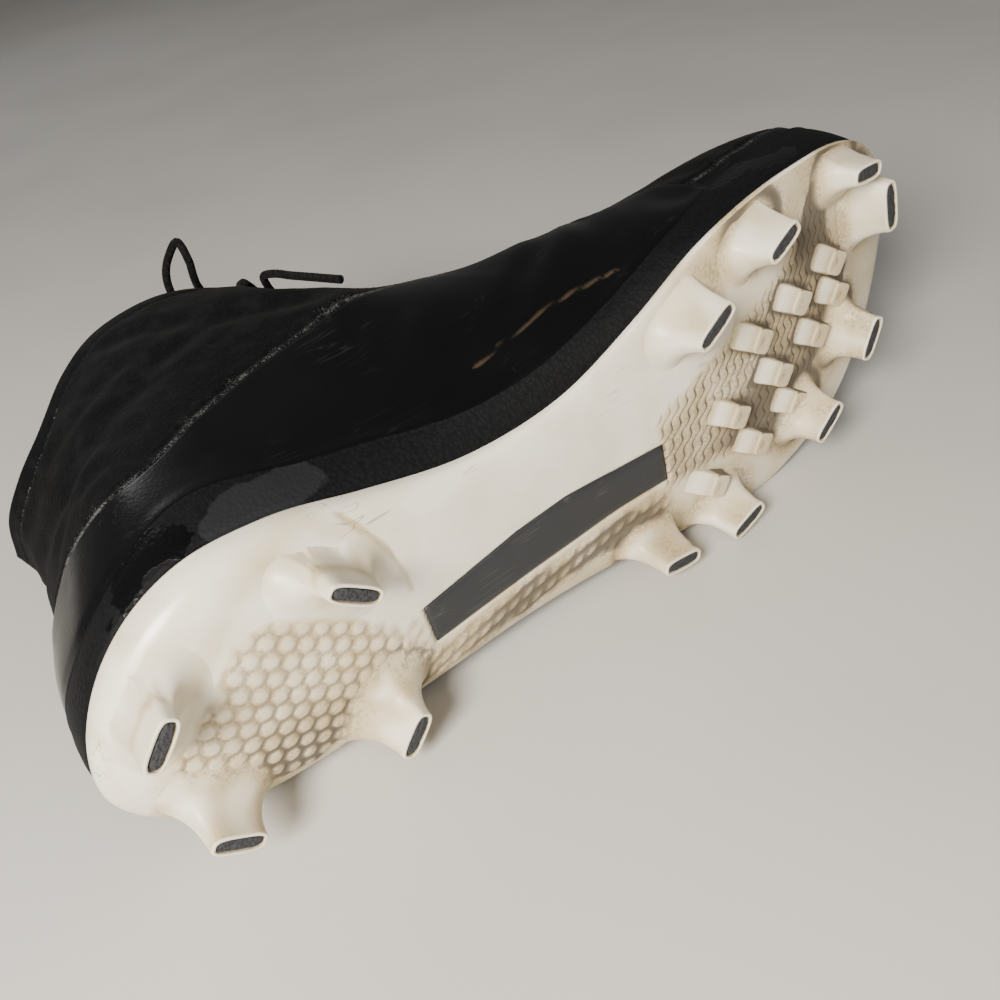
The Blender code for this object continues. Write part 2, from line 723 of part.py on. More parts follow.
def make_midsole(p):
    """The foam carrier: a bowl in the plate whose side wall ends in a lip round the upper."""
    under = PLATE_THICKNESS + FIT_GAP
    rings = [plate_ring(p, share, RIM_WIDTH + FIT_GAP, under) for share in (0.35, 0.7, 0.9, 1.0)]
    rings[-1][:, 2] = plate_ring(p, 1.0)[:, 2] + BAND_GAP
    rim = plate_ring(p, 1.0) - p.out * BAND_INSET
    rim[:, 2] += BAND_GAP
    top = band_top(p)
    waist = (rim + top) / 2 + p.out * BAND_BULGE
    lip = top - p.out * LIP_WIDTH
    ledge = lip + lip_slope(p) - np.array([0, 0, FIT_GAP])
    shelf = ledge - p.out * (UPPER_WALL + 2 * FIT_GAP)
    rings += [rim, waist, top, lip, ledge, shelf]
    for share in (0.95, 0.89, 0.7, 0.35):
        rings.append(plate_ring(p, share, FLOOR_INSET, under + MIDSOLE_THICKNESS))
    return solid_of_rings("midsole", rings, "midsole")


def make_insole(p):
    """The thin foam sheet that lies in the midsole's bowl."""
    low = PLATE_THICKNESS + 2 * FIT_GAP + MIDSOLE_THICKNESS
    rings = [plate_ring(p, share, FLOOR_INSET, low) for share in (0.35, 0.7, 0.89)]
    for share in (0.88, 0.7, 0.35):
        rings.append(plate_ring(p, share, FLOOR_INSET, low + INSOLE_THICKNESS))
    return solid_of_rings("insole", rings, "insole")


def make_upper(p, shape):
    """The one hollow shell, with the quarter overlay as a step and a rounded collar edge."""
    seam = shape.seam()
    fade = smoothstep(seam, 0.09, 0.16)
    tuck = lip_slope(p)
    rows = [shape.at(0.0) + tuck]
    for share in (0.0, 0.1, 0.4, 0.75, 1.0):
        t = seam * share
        step = OVERLAY_STEP * fade * (1 if share > 0 else 0)
        rows.append(shape.at(t) + shape.normal(t) * step[:, None])
    for share in (0.02, 0.2, 0.45, 0.7, 0.88, 1.0):
        rows.append(shape.at(seam + (1 - seam) * share))
    inner = [shape.inner(seam + (1 - seam) * share) for share in (1.0, 0.8, 0.5, 0.2)]
    inner += [shape.inner(seam * share) for share in (0.6, 0.0)]
    inner[-1][:, 2] = rows[1][:, 2]
    inner.append(inner[-1] + tuck)
    crest = (rows[-1] + inner[0]) / 2
    climb = unit(shape.at(1.0) - shape.at(0.97))
    crest += climb * (shape.wall(1.0) * 0.4)[:, None]
    return solid_of_rings("upper", rows + [crest] + inner, "upper", closed=True)


def throat(shape):
    """Unit vector square to the line of the throat, pointing out of the shoe."""
    line = shape.at(1.0)
    run = line[round(0.50 * SIDE_POINTS)] - line[round(0.90 * SIDE_POINTS)]
    return unit(np.array([run[2], 0.0, -run[0]]))


def make_tongue(p, shape):
    """A padded sheet tucked under both edges of the throat, its free top above the collar."""
    half = SIDE_POINTS
    gap = TONGUE_GAP * (1 + 1.5 * smoothstep(p.arc, 0.68, 0.9))
    margins = [shape.inner(t, gap) for t in TONGUE_MARGINS]
    under = margins[0]
    rows = [under[half - 3 : half + 4]]
    for station in range(half - 2, round(TONGUE_TOP_ARC * half) - 1, -2):
        other = 2 * half - station
        medial = [margin[station] for margin in margins]
        lateral = [margin[other] for margin in reversed(margins)]
        rise = throat(shape) * TONGUE_CROWN * np.linalg.norm(medial[-1] - lateral[0])
        rows.append(np.array(medial + [(medial[-1] + lateral[0]) / 2 + rise] + lateral))
    run = unit(rows[-1][3] - rows[-3][3])
    squeeze = np.array([1.0, 0.9, 1.0])
    rows.append(rows[-1] * squeeze + run * TONGUE_REACH)
    top = np.array(rows)
    along = np.gradient(top, axis=0)
    across = np.gradient(top, axis=1)
    normal = unit(np.cross(along, across))
    normal *= np.sign(normal[5, 3] @ throat(shape))
    return solid_of_sheet("tongue", top, top - normal * TONGUE_THICKNESS, "tongue")


def tube_parts(points, corners=6):
    """Vertices and faces of a lace that passes through the points."""
    run = unit(np.gradient(points, axis=0))
    side = unit(np.cross(run, np.array([0.37, 0.21, 0.9])))
    rise = np.cross(side, run)
    angle = np.arange(corners) * 2 * math.pi / corners
    rings = [
        here + (np.outer(np.cos(angle), a) + np.outer(np.sin(angle), b)) * LACE_DIAMETER / 2
        for here, a, b in zip(points, side, rise)
    ]
    return plain_loft(rings)


def lace_runs(shape):
    """Paths of the bars over the tongue: one straight bar, then crossings up to the top bar."""
    lift = LACE_DIAMETER / 2 + LACE_CLEARANCE
    seat = shape.at(EYELET_HEIGHT) + shape.normal(EYELET_HEIGHT) * lift
    edge = shape.at(1.0) + throat(shape) * lift
    medial = [round(arc * SIDE_POINTS) for arc in EYELET_ARCS]
    lateral = [2 * SIDE_POINTS - station for station in medial]

    def bar(a, b, c, d):
        """From eyelet a to eyelet b; c and d are the eyelets beside them on the same sides."""
        near = edge[a] * 0.85 + edge[c] * 0.15
        far = edge[b] * 0.85 + edge[d] * 0.15
        middle = (edge[a] + edge[b] + edge[c] + edge[d]) / 4
        middle += throat(shape) * LACE_CROWN * np.linalg.norm(edge[a] - edge[b])
        return np.array([seat[a], near, middle, far, seat[b]])

    runs = [bar(medial[0], lateral[0], medial[0], lateral[0])]
    for k in range(len(medial) - 1):
        runs.append(bar(medial[k], lateral[k + 1], medial[k + 1], lateral[k]))
        runs.append(bar(lateral[k], medial[k + 1], lateral[k + 1], medial[k]))
    runs.append(bar(medial[-1], lateral[-1], medial[-1], lateral[-1]))
    return runs


def make_laces(shape):
    """The crossings over the tongue as one joined solid."""
    runs = lace_runs(shape)
    body = build_object("laces", *tube_parts(runs[0]), "lace")
    for run in runs[1:]:
        combine(body, "UNION", *tube_parts(run))
    return body


def knot_middle(shape):
    """The knot sits on the middle of the top bar."""
    top = lace_runs(shape)[-1][2]
    return top + throat(shape) * (LACE_DIAMETER / 2 + FIT_GAP * 2 + KNOT_SIZE * 0.35)


def make_knot(shape):
    """A plain rounded knot."""
    out = throat(shape)
    side = np.array([0.0, 1.0, 0.0])
    run = np.cross(out, side)
    angle = np.arange(12) * math.pi / 6
    rings = []
    for latitude in np.radians((-68, -40, -12, 12, 40, 68)):
        flat = math.cos(latitude) * KNOT_SIZE / 2
        circle = np.outer(np.cos(angle), side) * flat + np.outer(np.sin(angle), run) * flat * KNOT_FLATNESS
        rings.append(knot_middle(shape) + circle + out * math.sin(latitude) * KNOT_SIZE * 0.35)
    return build_object("lace_knot", *plain_loft(rings), "lace")


def knot_port(shape, across, along):
    """Where a lace leaves the knot: a gap off its surface, in a direction along the throat."""
    out = throat(shape)
    side = np.array([0.0, 1.0, 0.0])
    length = math.hypot(across, along)
    reach = length / math.hypot(across, along / KNOT_FLATNESS) * KNOT_SIZE / 2 + KNOT_GAP
    return knot_middle(shape) + (side * across + np.cross(out, side) * along) / length * reach


def cord_path(rows, first, last=None):
    """Evenly spaced points of a smooth line from the knot through the guide points."""
    scale = np.array([OUTSOLE_LENGTH, ANKLE_WIDTH / 2, COLLAR_RISE])
    guide = np.array([0, 0, STUD_HEIGHT]) + np.array(rows) * scale
    guide = np.vstack([first, guide] + ([] if last is None else [last]))
    keys = np.concatenate([[0], np.cumsum(np.linalg.norm(np.diff(guide, axis=0), axis=1))])
    slopes = np.gradient(guide, keys, axis=0)
    at = np.linspace(0, keys[-1], max(6, round(keys[-1] / (LACE_DIAMETER * 2.3))))
    i = np.clip(np.searchsorted(keys, at, side="right") - 1, 0, len(keys) - 2)
    columns = [
        hermite(at, keys[i], keys[i + 1], guide[i, c], guide[i + 1, c], slopes[i, c], slopes[i + 1, c])
        for c in range(3)
    ]
    return np.column_stack(columns)


def make_cord(name, points):
    """A lace hanging free, as a curve with round section and closed ends."""
    curve = bpy.data.curves.new(name, "CURVE")
    curve.dimensions = "3D"
    curve.bevel_depth = LACE_DIAMETER / 2
    curve.bevel_resolution = 2
    curve.use_fill_caps = True
    spline = curve.splines.new("POLY")
    spline.points.add(len(points) - 1)
    for point, place_ in zip(spline.points, points):
        point.co = (*place_, 1.0)
    curve.materials.append(material("lace"))
    obj = bpy.data.objects.new(name, curve)
    bpy.context.scene.collection.objects.link(obj)
    obj["kind"] = "lace"
    return obj


def make_bow(shape):
    """The knot with its two loops and two ends."""
    make_knot(shape)
    sides = (("medial", -1, LOOP_MEDIAL, END_MEDIAL), ("lateral", 1, LOOP_LATERAL, END_LATERAL))
    for name, side, loop, end in sides:
        out = knot_port(shape, side, 1.0)
        back = knot_port(shape, side, 0.0)
        make_cord("lace_loop_" + name, cord_path(loop, out, back))
        make_cord("lace_end_" + name, cord_path(end, knot_port(shape, side, -1.0)))


def solid_meshes():
    """Points and triangles of every mesh object, in the shoe's own axes."""
    for obj in bpy.data.objects:
        if obj.type == "MESH":
            obj.data.calc_loop_triangles()
            points = np.array([v.co for v in obj.data.vertices])
            yield obj, points, np.array([t.vertices for t in obj.data.loop_triangles])


def centre_of_mass():
    total = 0.0
    moment = np.zeros(3)
    for obj, points, tris in solid_meshes():
        a, b, c = (points[tris[:, k]] for k in range(3))
        six = np.einsum("ij,ij->i", a, np.cross(b, c)) * DENSITIES[obj["kind"]]
        total += six.sum() / 6
        moment += (six[:, None] * (a + b + c)).sum(axis=0) / 24
    return moment / total


def resting_face(centre):
    """The flat side the shoe lies on: the hull's lateral face under the centre of mass."""
    points = np.vstack([points for _, points, _ in solid_meshes()])
    work = bmesh.new()
    for point in points[points[:, 1] > 0]:
        work.verts.new(point)
    bmesh.ops.convex_hull(work, input=work.verts)
    best = None
    for face in work.faces:
        corners = np.array([v.co for v in face.verts])[:3]
        normal = np.cross(corners[1] - corners[0], corners[2] - corners[0])
        size = np.linalg.norm(normal)
        if size < 1e-10:
            continue
        normal /= size
        if normal @ (corners.mean(axis=0) - centre) < 0:
            normal = -normal
        sides = np.roll(corners, -1, axis=0) - corners
        turns = np.cross(sides, centre - corners) @ normal
        inside = (turns >= 0).all() or (turns <= 0).all()
        if inside and normal[1] > 0.7 and (best is None or size > best[0]):
            best = (size, normal, corners)
    work.free()
    return best[1], best[1] @ best[2][0]


def lay_on_side():
    """Presses the lateral side flat where it touches the floor and turns the shoe onto it."""
    normal, reach = resting_face(centre_of_mass())
    floor = reach - SIDE_PRESS
    for obj, points, _ in solid_meshes():
        over = points @ normal - floor
        for index in np.nonzero(over > 0)[0]:
            obj.data.vertices[index].co = points[index] - normal * over[index]
    up = -normal
    forward = unit(np.array([1.0, 0.0, 0.0]) - normal * normal[0])
    turn = np.array([forward, np.cross(up, forward), up])
    placed = np.vstack([points @ turn.T for _, points, _ in solid_meshes()])
    low, high = placed.min(axis=0), placed.max(axis=0)
    shift = np.array([-(low[0] + high[0]) / 2, -(low[1] + high[1]) / 2, floor])
    frame = bpy.data.objects.new("shoe_axes", None)
    bpy.context.scene.collection.objects.link(frame)
    matrix = Matrix([(*turn[k], shift[k]) for k in range(3)] + [(0, 0, 0, 1)])
    frame.matrix_world = matrix
    for obj in bpy.data.objects:
        if obj is not frame:
            obj.parent = frame
    bpy.context.view_layer.update()


def main():
    clear_scene()
    p = Perimeter(SIDE_POINTS)
    shape = UpperShape(p)
    make_outsole(p)
    make_stud_pads()
    make_inlay()
    make_midsole(p)
    make_insole(p)
    make_upper(p, shape)
    make_tongue(p, shape)
    make_laces(shape)
    make_bow(shape)
    lay_on_side()


main()
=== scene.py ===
"""Dresses the left baseball cleat: fine shapes, materials, laces, camera and stage.

The pieces are made in the shoe's own axes, X from heel to toe, Y towards the lateral side and
Z up from the stud tips, and are then laid on the side where the frame's stud pads say.
"""

import math
from collections import namedtuple

import bmesh
import bpy
import numpy as np
from bpy.props import FloatProperty, FloatVectorProperty, PointerProperty
from mathutils import Matrix, Vector
from mathutils.bvhtree import BVHTree


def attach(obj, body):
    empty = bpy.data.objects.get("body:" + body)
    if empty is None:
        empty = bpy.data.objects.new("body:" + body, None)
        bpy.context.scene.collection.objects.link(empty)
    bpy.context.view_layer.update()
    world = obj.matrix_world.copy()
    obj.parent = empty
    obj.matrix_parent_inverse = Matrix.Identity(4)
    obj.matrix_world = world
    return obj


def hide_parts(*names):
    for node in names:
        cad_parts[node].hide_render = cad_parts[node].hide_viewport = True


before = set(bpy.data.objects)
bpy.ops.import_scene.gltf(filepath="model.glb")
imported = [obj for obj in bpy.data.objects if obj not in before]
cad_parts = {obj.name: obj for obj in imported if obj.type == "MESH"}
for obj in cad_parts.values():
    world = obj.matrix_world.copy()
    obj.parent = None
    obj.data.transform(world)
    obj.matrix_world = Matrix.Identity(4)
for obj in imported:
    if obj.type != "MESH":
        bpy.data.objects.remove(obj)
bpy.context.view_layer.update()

bl_info = {
    "name": "Baseball cleat look",
    "version": (1, 0, 0),
    "blender": (4, 5, 0),
    "location": "3D View > Sidebar > Cleat",
    "description": "Dresses a left baseball cleat that lies on its side",
    "category": "Object",
}

# Points on each side of the loops that run round the shoe, for each kind of piece, and
# the rings of the plate's underside
SIDE_POINTS = 34
SOLE_POINTS = 150
WALL_POINTS = 240
PLATE_POINTS = 380
PLATE_ROWS = 104

# Driving dimensions, in metres
OUTSOLE_LENGTH = 0.298
BALL_WIDTH = 0.1042
ANKLE_WIDTH = 0.086
COLLAR_RISE = 0.151
BAND_RISE = 0.034
BAND_FLARE = 0.008
RIM_RISE = 0.015
TOE_SPRING = 0.012
PLATE_THICKNESS = 0.0028
RIM_WIDTH = 0.0024
MIDSOLE_THICKNESS = 0.0045
LIP_WIDTH = 0.0011
LIP_HEIGHT = 0.004
UPPER_WALL = 0.0022
COLLAR_WALL = 0.0065
OVERLAY_STEP = 0.0008
STUD_HEIGHT = 0.012
STUD_LENGTH = 0.0155
STUD_WIDTH = 0.0058
STUD_RIM = 0.0009
PAD_THICKNESS = 0.0008
PAD_SINK = 0.0001
LUG_LENGTH = 0.0075
LUG_WIDTH = 0.0082
LUG_RAMP = 0.008
LUG_HEIGHT = 0.0035
INLAY_THICKNESS = 0.0010
LACE_DIAMETER = 0.0028
LACE_CLEARANCE = 0.0005
KNOT_SIZE = 0.011
KNOT_GAP = 0.0009
FIT_GAP = 0.0003
RIM_TRIM = 0.0015
BAND_INSET = 0.0006
BAND_GAP = 0.0005
BAND_BULGE = 0.0010
FLOOR_INSET = 0.0044
LUG_TURN = 35.0
MOULD_DEPTH = 0.0002
STRIP_DEPTH = 0.0008
HIDDEN_EDGE = 0.0008

# Lattice of the heel's bumps: its start in plan, its turn in degrees and how six-sided they are
BUMP_START = (0.0291, 0.0081)
BUMP_TURN = 43.0
BUMP_SIX_SIDED = 0.65

# Points round a section, and squareness of the ovals in plan: 2 is an ellipse
STUD_CORNERS = 96
LUG_CORNERS = 64
PAD_CORNERS = 64
STUD_SQUARENESS = 3.4
LUG_SQUARENESS = 5.0
PAD_SQUARENESS = 3.2
CROSSING_CORNERS = 14
CROSSING_FLATNESS = 0.8
KNOT_CORNERS = 12

# Distance between the points along a lace
CROSSING_SPACING = 0.0016
CORD_SPACING = 0.0014


def table(kind, *rows):
    """Rows of plain numbers as rows with named columns."""
    return tuple(kind(*row) for row in rows)


# Outline of the plate's top edge: along as a share of the length, the rest of the ball width
OutlineRow = namedtuple("OutlineRow", "along medial lateral")
OUTLINE = table(
    OutlineRow,
    (0.000, 0.000, 0.000),
    (0.010, 0.109, 0.108),
    (0.035, 0.220, 0.210),
    (0.080, 0.329, 0.299),
    (0.150, 0.399, 0.349),
    (0.220, 0.381, 0.363),
    (0.300, 0.309, 0.366),
    (0.400, 0.238, 0.375),
    (0.500, 0.244, 0.408),
    (0.600, 0.341, 0.463),
    (0.680, 0.438, 0.510),
    (0.740, 0.475, 0.523),
    (0.800, 0.487, 0.488),
    (0.870, 0.471, 0.408),
    (0.930, 0.400, 0.274),
    (0.970, 0.296, 0.128),
    (0.992, 0.182, -0.002),
    (1.000, 0.083, -0.083),
)

# Underside of the plate: lift above the stud height as a share of the toe spring
LiftRow = namedtuple("LiftRow", "along lift")
LIFT = table(
    LiftRow,
    (0.00, 0.083),
    (0.10, 0.000),
    (0.30, 0.125),
    (0.50, 0.208),
    (0.70, 0.000),
    (0.80, 0.125),
    (0.90, 0.500),
    (1.00, 1.000),
)

# Side of the sole: rim as a share of the rim rise, band of the band rise, flare of the band flare
SideRow = namedtuple(
    "SideRow", "along rim_medial rim_lateral band_medial band_lateral flare_medial flare_lateral"
)
SIDES = table(
    SideRow,
    (0.00, 0.74, 0.74, 0.97, 0.97, -0.12, -0.12),
    (0.04, 0.87, 0.87, 0.83, 0.85, -0.06, -0.06),
    (0.08, 0.95, 0.92, 0.77, 0.80, 0.12, 0.12),
    (0.19, 0.91, 0.87, 0.92, 0.82, 0.52, 0.31),
    (0.26, 0.85, 0.80, 0.75, 0.76, 0.63, 0.38),
    (0.32, 0.73, 0.70, 0.66, 0.68, 0.88, 0.38),
    (0.43, 0.52, 0.57, 0.46, 0.59, 1.00, 0.31),
    (0.53, 0.36, 0.43, 0.36, 0.53, 0.94, 0.12),
    (0.61, 0.25, 0.30, 0.38, 0.53, 0.50, -0.12),
    (0.69, 0.19, 0.20, 0.44, 0.56, 0.06, -0.31),
    (0.77, 0.19, 0.19, 0.69, 0.65, -0.44, -0.44),
    (0.85, 0.24, 0.24, 0.76, 0.77, -0.40, -0.40),
    (0.93, 0.53, 0.53, 0.91, 0.91, 0.05, -0.10),
    (1.00, 1.00, 1.00, 1.03, 1.03, 0.12, 0.12),
)

# Walls of the upper by arc from heel to toe. The opening's edge: along as a share of the
# length, medial and lateral of half the ankle width, rise of the collar rise. The handles
# that shape the wall are shares of its height from band to opening.
WallRow = namedtuple(
    "WallRow", "arc along medial lateral rise low_out low_up high_out high_down"
)
WALLS = table(
    WallRow,
    (0.00, 0.034, 0.000, 0.000, 0.810, 0.00, 0.28, -0.12, 0.28),
    (0.05, 0.049, 0.326, 0.310, 0.790, 0.01, 0.28, -0.09, 0.28),
    (0.10, 0.080, 0.600, 0.560, 0.775, 0.02, 0.28, -0.05, 0.28),
    (0.16, 0.124, 0.800, 0.750, 0.808, 0.04, 0.29, 0.00, 0.28),
    (0.22, 0.173, 0.935, 0.870, 0.895, 0.05, 0.30, 0.03, 0.28),
    (0.28, 0.224, 1.000, 0.920, 0.965, 0.06, 0.30, 0.04, 0.29),
    (0.34, 0.279, 1.000, 0.920, 1.000, 0.06, 0.30, 0.05, 0.30),
    (0.40, 0.326, 0.958, 0.880, 1.006, 0.08, 0.29, 0.07, 0.28),
    (0.46, 0.366, 0.900, 0.820, 0.966, 0.10, 0.28, 0.09, 0.25),
    (0.52, 0.406, 0.810, 0.740, 0.885, 0.10, 0.28, 0.11, 0.22),
    (0.60, 0.468, 0.600, 0.560, 0.776, 0.08, 0.28, 0.11, 0.18),
    (0.68, 0.530, 0.500, 0.470, 0.634, 0.06, 0.28, 0.12, 0.14),
    (0.76, 0.587, 0.430, 0.400, 0.514, 0.05, 0.28, 0.15, 0.10),
    (0.84, 0.641, 0.350, 0.330, 0.456, 0.05, 0.26, 0.20, 0.08),
    (0.92, 0.678, 0.210, 0.200, 0.424, 0.05, 0.22, 0.35, 0.08),
    (1.00, 0.691, 0.000, 0.000, 0.412, 0.05, 0.20, 0.48, 0.06),
)

# Upper edge of the glossy quarter: along as a share of the length, rise of the collar rise
SeamRow = namedtuple("SeamRow", "along rise")
SEAM = table(
    SeamRow,
    (0.000, 0.400),
    (0.055, 0.370),
    (0.115, 0.335),
    (0.168, 0.325),
    (0.245, 0.400),
    (0.315, 0.470),
    (0.395, 0.495),
    (0.450, 0.505),
    (0.500, 0.500),
    (0.565, 0.417),
    (0.635, 0.345),
    (0.705, 0.280),
    (0.745, 0.240),
    (0.775, 0.150),
    (1.000, 0.150),
)

# Studs: place as shares of the length and the ball width, turn in degrees from the length,
# lift of the tip above the stud plane as a share of the stud height
StudRow = namedtuple("StudRow", "along across turn size lift")
STUDS = table(
    StudRow,
    (0.239, -0.248, 45, 1.00, 0.00),
    (0.062, -0.214, -45, 0.95, 0.00),
    (0.063, 0.186, 42, 0.95, 0.00),
    (0.233, 0.276, -46, 0.92, 0.00),
    (0.563, 0.402, 14, 0.95, 0.00),
    (0.661, 0.445, -17, 0.95, 0.00),
    (0.795, 0.311, -38, 0.95, 0.00),
    (0.873, 0.132, -62, 0.95, 0.12),
    (0.741, -0.394, -27, 0.85, 0.04),
    (0.645, -0.290, -29, 1.00, 0.00),
    (0.880, -0.397, 6, 0.75, 0.42),
    (0.921, -0.237, 84, 1.10, 0.50),
)

# Ramped lugs between the forefoot studs
LugRow = namedtuple("LugRow", "along across")
LUGS = table(
    LugRow,
    (0.864, -0.117),
    (0.798, -0.090),
    (0.734, -0.065),
    (0.869, 0.002),
    (0.828, 0.078),
    (0.762, 0.105),
    (0.692, 0.134),
    (0.784, 0.256),
    (0.722, 0.297),
    (0.653, 0.330),
)

# Dark inlay strip of the midfoot, its two long edges as shares of the ball width
InlayRow = namedtuple("InlayRow", "along medial lateral")
INLAY = table(
    InlayRow,
    (0.300, 0.048, 0.175),
    (0.352, 0.038, 0.178),
    (0.412, 0.027, 0.184),
    (0.474, 0.031, 0.192),
    (0.537, 0.058, 0.195),
    (0.596, 0.077, 0.206),
)

# Stations of the eyelet rows, by arc from heel to toe, and their share of the wall's height
EYELET_ARCS = (0.93, 0.86, 0.79, 0.72, 0.65, 0.58, 0.51)
EYELET_HEIGHT = 0.93
EYELET_COLOUR = (0.012, 0.012, 0.013)

# Length of the knot as a share of its width
KNOT_FLATNESS = 0.85

# Height of the laces' middle as a share of the throat's width
LACE_CROWN = 0.045

# Guide points of the bow beyond the knot: along as a share of the length, across as a share
# of half the ankle width, rise of the collar rise
BowRow = namedtuple("BowRow", "along across rise")
LOOP_MEDIAL = table(
    BowRow,
    (0.376, -0.33, 0.997),
    (0.351, -0.56, 1.013),
    (0.336, -0.77, 1.033),
    (0.334, -0.93, 1.036),
    (0.339, -1.08, 1.030),
    (0.349, -1.20, 1.017),
    (0.362, -1.29, 1.003),
    (0.363, -1.19, 0.983),
    (0.361, -1.05, 0.983),
    (0.362, -0.90, 1.010),
    (0.371, -0.67, 1.000),
    (0.389, -0.40, 0.977),
)
LOOP_LATERAL = table(
    BowRow,
    (0.376, 0.30, 0.997),
    (0.351, 0.51, 1.013),
    (0.339, 0.72, 1.033),
    (0.347, 0.84, 1.030),
    (0.362, 0.77, 1.013),
    (0.379, 0.58, 0.990),
    (0.398, 0.37, 0.974),
)
END_MEDIAL = table(
    BowRow,
    (0.436, -0.33, 0.927),
    (0.433, -0.56, 0.911),
    (0.424, -0.74, 0.897),
    (0.419, -0.88, 0.881),
    (0.423, -0.94, 0.844),
    (0.436, -0.95, 0.775),
    (0.463, -0.95, 0.649),
)
END_LATERAL = table(
    BowRow,
    (0.436, 0.33, 0.927),
    (0.433, 0.56, 0.911),
    (0.424, 0.72, 0.897),
    (0.419, 0.85, 0.881),
    (0.424, 0.91, 0.841),
    (0.436, 0.92, 0.781),
    (0.456, 0.92, 0.702),
)

# A mark on the wall of the upper: along as a share of the length, rise of the collar rise
Mark = namedtuple("Mark", "along rise")

# Soft folds pressed into the wall: half width and depth as shares of the overlay step, the
# share of it that the lateral side shows, and the marks that the fold runs through
Crease = namedtuple("Crease", "width depth lateral marks")
CREASES = (
    Crease(6.0, 1.9, 0.6, (Mark(0.02, 0.62), Mark(0.054, 0.583), Mark(0.101, 0.536), Mark(0.144, 0.556),
                           Mark(0.185, 0.583), Mark(0.228, 0.616))),
    Crease(4.5, 1.2, 0.8, (Mark(0.107, 0.523), Mark(0.131, 0.543), Mark(0.154, 0.530), Mark(0.191, 0.464))),
    Crease(5.5, 1.8, 0.7, (Mark(0.242, 0.868), Mark(0.275, 0.834), Mark(0.315, 0.768), Mark(0.366, 0.695),
                           Mark(0.419, 0.596))),
    Crease(5.0, 1.4, 0.7, (Mark(0.255, 0.682), Mark(0.309, 0.702), Mark(0.356, 0.689), Mark(0.406, 0.609))),
    Crease(4.0, 1.0, 0.5, (Mark(0.120, 0.700), Mark(0.165, 0.690), Mark(0.215, 0.725))),
    Crease(3.2, 0.8, 0.4, (Mark(0.068, 0.440), Mark(0.101, 0.470), Mark(0.140, 0.440))),
    Crease(4.2, 0.9, 0.8, (Mark(0.625, 0.345), Mark(0.611, 0.318), Mark(0.587, 0.291), Mark(0.560, 0.265),
                           Mark(0.530, 0.219))),
    Crease(4.5, 1.0, 0.9, (Mark(0.665, 0.300), Mark(0.650, 0.200), Mark(0.621, 0.120), Mark(0.587, 0.100),
                           Mark(0.544, 0.088), Mark(0.493, 0.088))),
    Crease(6.0, 1.2, 1.0, (Mark(0.730, 0.190), Mark(0.752, 0.155), Mark(0.792, 0.150), Mark(0.822, 0.145),
                           Mark(0.883, 0.150))),
    Crease(5.0, 0.9, 1.0, (Mark(0.700, 0.330), Mark(0.760, 0.300), Mark(0.800, 0.250))),
)

# The worn crack across the glossy quarter
CRACK = table(
    Mark,
    (0.462, 0.176), (0.470, 0.172), (0.493, 0.174), (0.523, 0.164),
    (0.560, 0.160), (0.587, 0.150), (0.611, 0.139), (0.625, 0.128),
)

# A place on the sole in plan: along as a share of the length, across of the ball width
Spot = namedtuple("Spot", "along across")

# Outline of each tread pattern of the plate
BUMP_FIELD = table(
    Spot,
    (0.051, -0.016), (0.088, -0.088), (0.135, -0.215), (0.174, -0.245), (0.224, -0.152),
    (0.265, 0.036), (0.297, 0.194), (0.280, 0.240), (0.210, 0.247), (0.149, 0.310),
    (0.105, 0.235), (0.065, 0.090),
)
ROPE_FIELD = table(
    Spot,
    (0.190, 0.200), (0.262, 0.130), (0.290, 0.010), (0.300, 0.190),
    (0.412, 0.205), (0.530, 0.215), (0.600, 0.230), (0.600, 0.330),
    (0.470, 0.330), (0.340, 0.325), (0.250, 0.325), (0.200, 0.300),
)
WAVE_FIELD = table(
    Spot,
    (0.835, -0.399), (0.901, -0.047), (0.774, 0.345), (0.654, 0.261),
    (0.590, 0.250), (0.593, -0.024), (0.671, -0.093), (0.742, -0.179),
    (0.788, -0.239), (0.810, -0.353),
)
# Places where the rope pattern turns: along as a share of the length, and its slope there
RopeTurn = namedtuple("RopeTurn", "along slope")
ROPE_TURNS = table(
    RopeTurn,
    (0.15, -1.05), (0.20, -1.00), (0.25, -0.60), (0.30, -0.30),
    (0.37, -0.15), (0.44, -0.09), (0.60, -0.08),
)
# The same for the waves: how far a line shifts along for each step across
WaveTurn = namedtuple("WaveTurn", "along slope")
WAVE_TURNS = table(WaveTurn, (0.58, 0.62), (0.64, 0.55), (0.82, 0.20), (0.92, 0.12))

# The mould's seam, the soiled edge of the smooth heel margin and a rusty stain by a stud
MOULD_LINE = table(
    Spot,
    (0.262, -0.369), (0.279, -0.278), (0.291, -0.185), (0.297, -0.099), (0.297, -0.039),
)
SMOOTH_EDGE = table(Spot, (0.190, -0.350), (0.157, -0.303), (0.096, -0.167), (0.048, -0.014), (0.040, 0.090))
STAIN = table(Spot, (0.577, 0.304), (0.560, 0.336), (0.581, 0.411))

# The rear patch of light scales on the band, and where its glossy film is left
BAND_PATCH = table(Mark, (0.190, 0.120), (0.225, 0.135), (0.262, 0.140), (0.225, 0.100))
BAND_FILM_REAR = table(Mark, (0.110, 0.150), (0.140, 0.145), (0.150, 0.130))
BAND_FILM_TOE = table(Mark, (0.760, 0.160), (0.800, 0.130), (0.825, 0.080))

# Camera in the shoe's own axes, fitted to the photograph
CAMERA_PLACE = (0.030801, -0.182151, -0.167940)
CAMERA_RIGHT = (0.76832, 0.23127, -0.59682)
CAMERA_DOWN = (-0.54273, 0.72968, -0.41593)
CAMERA_FORWARD = (0.33930, 0.64349, 0.68615)
CAMERA_LENS = 35.73
CAMERA_SENSOR = 36.0

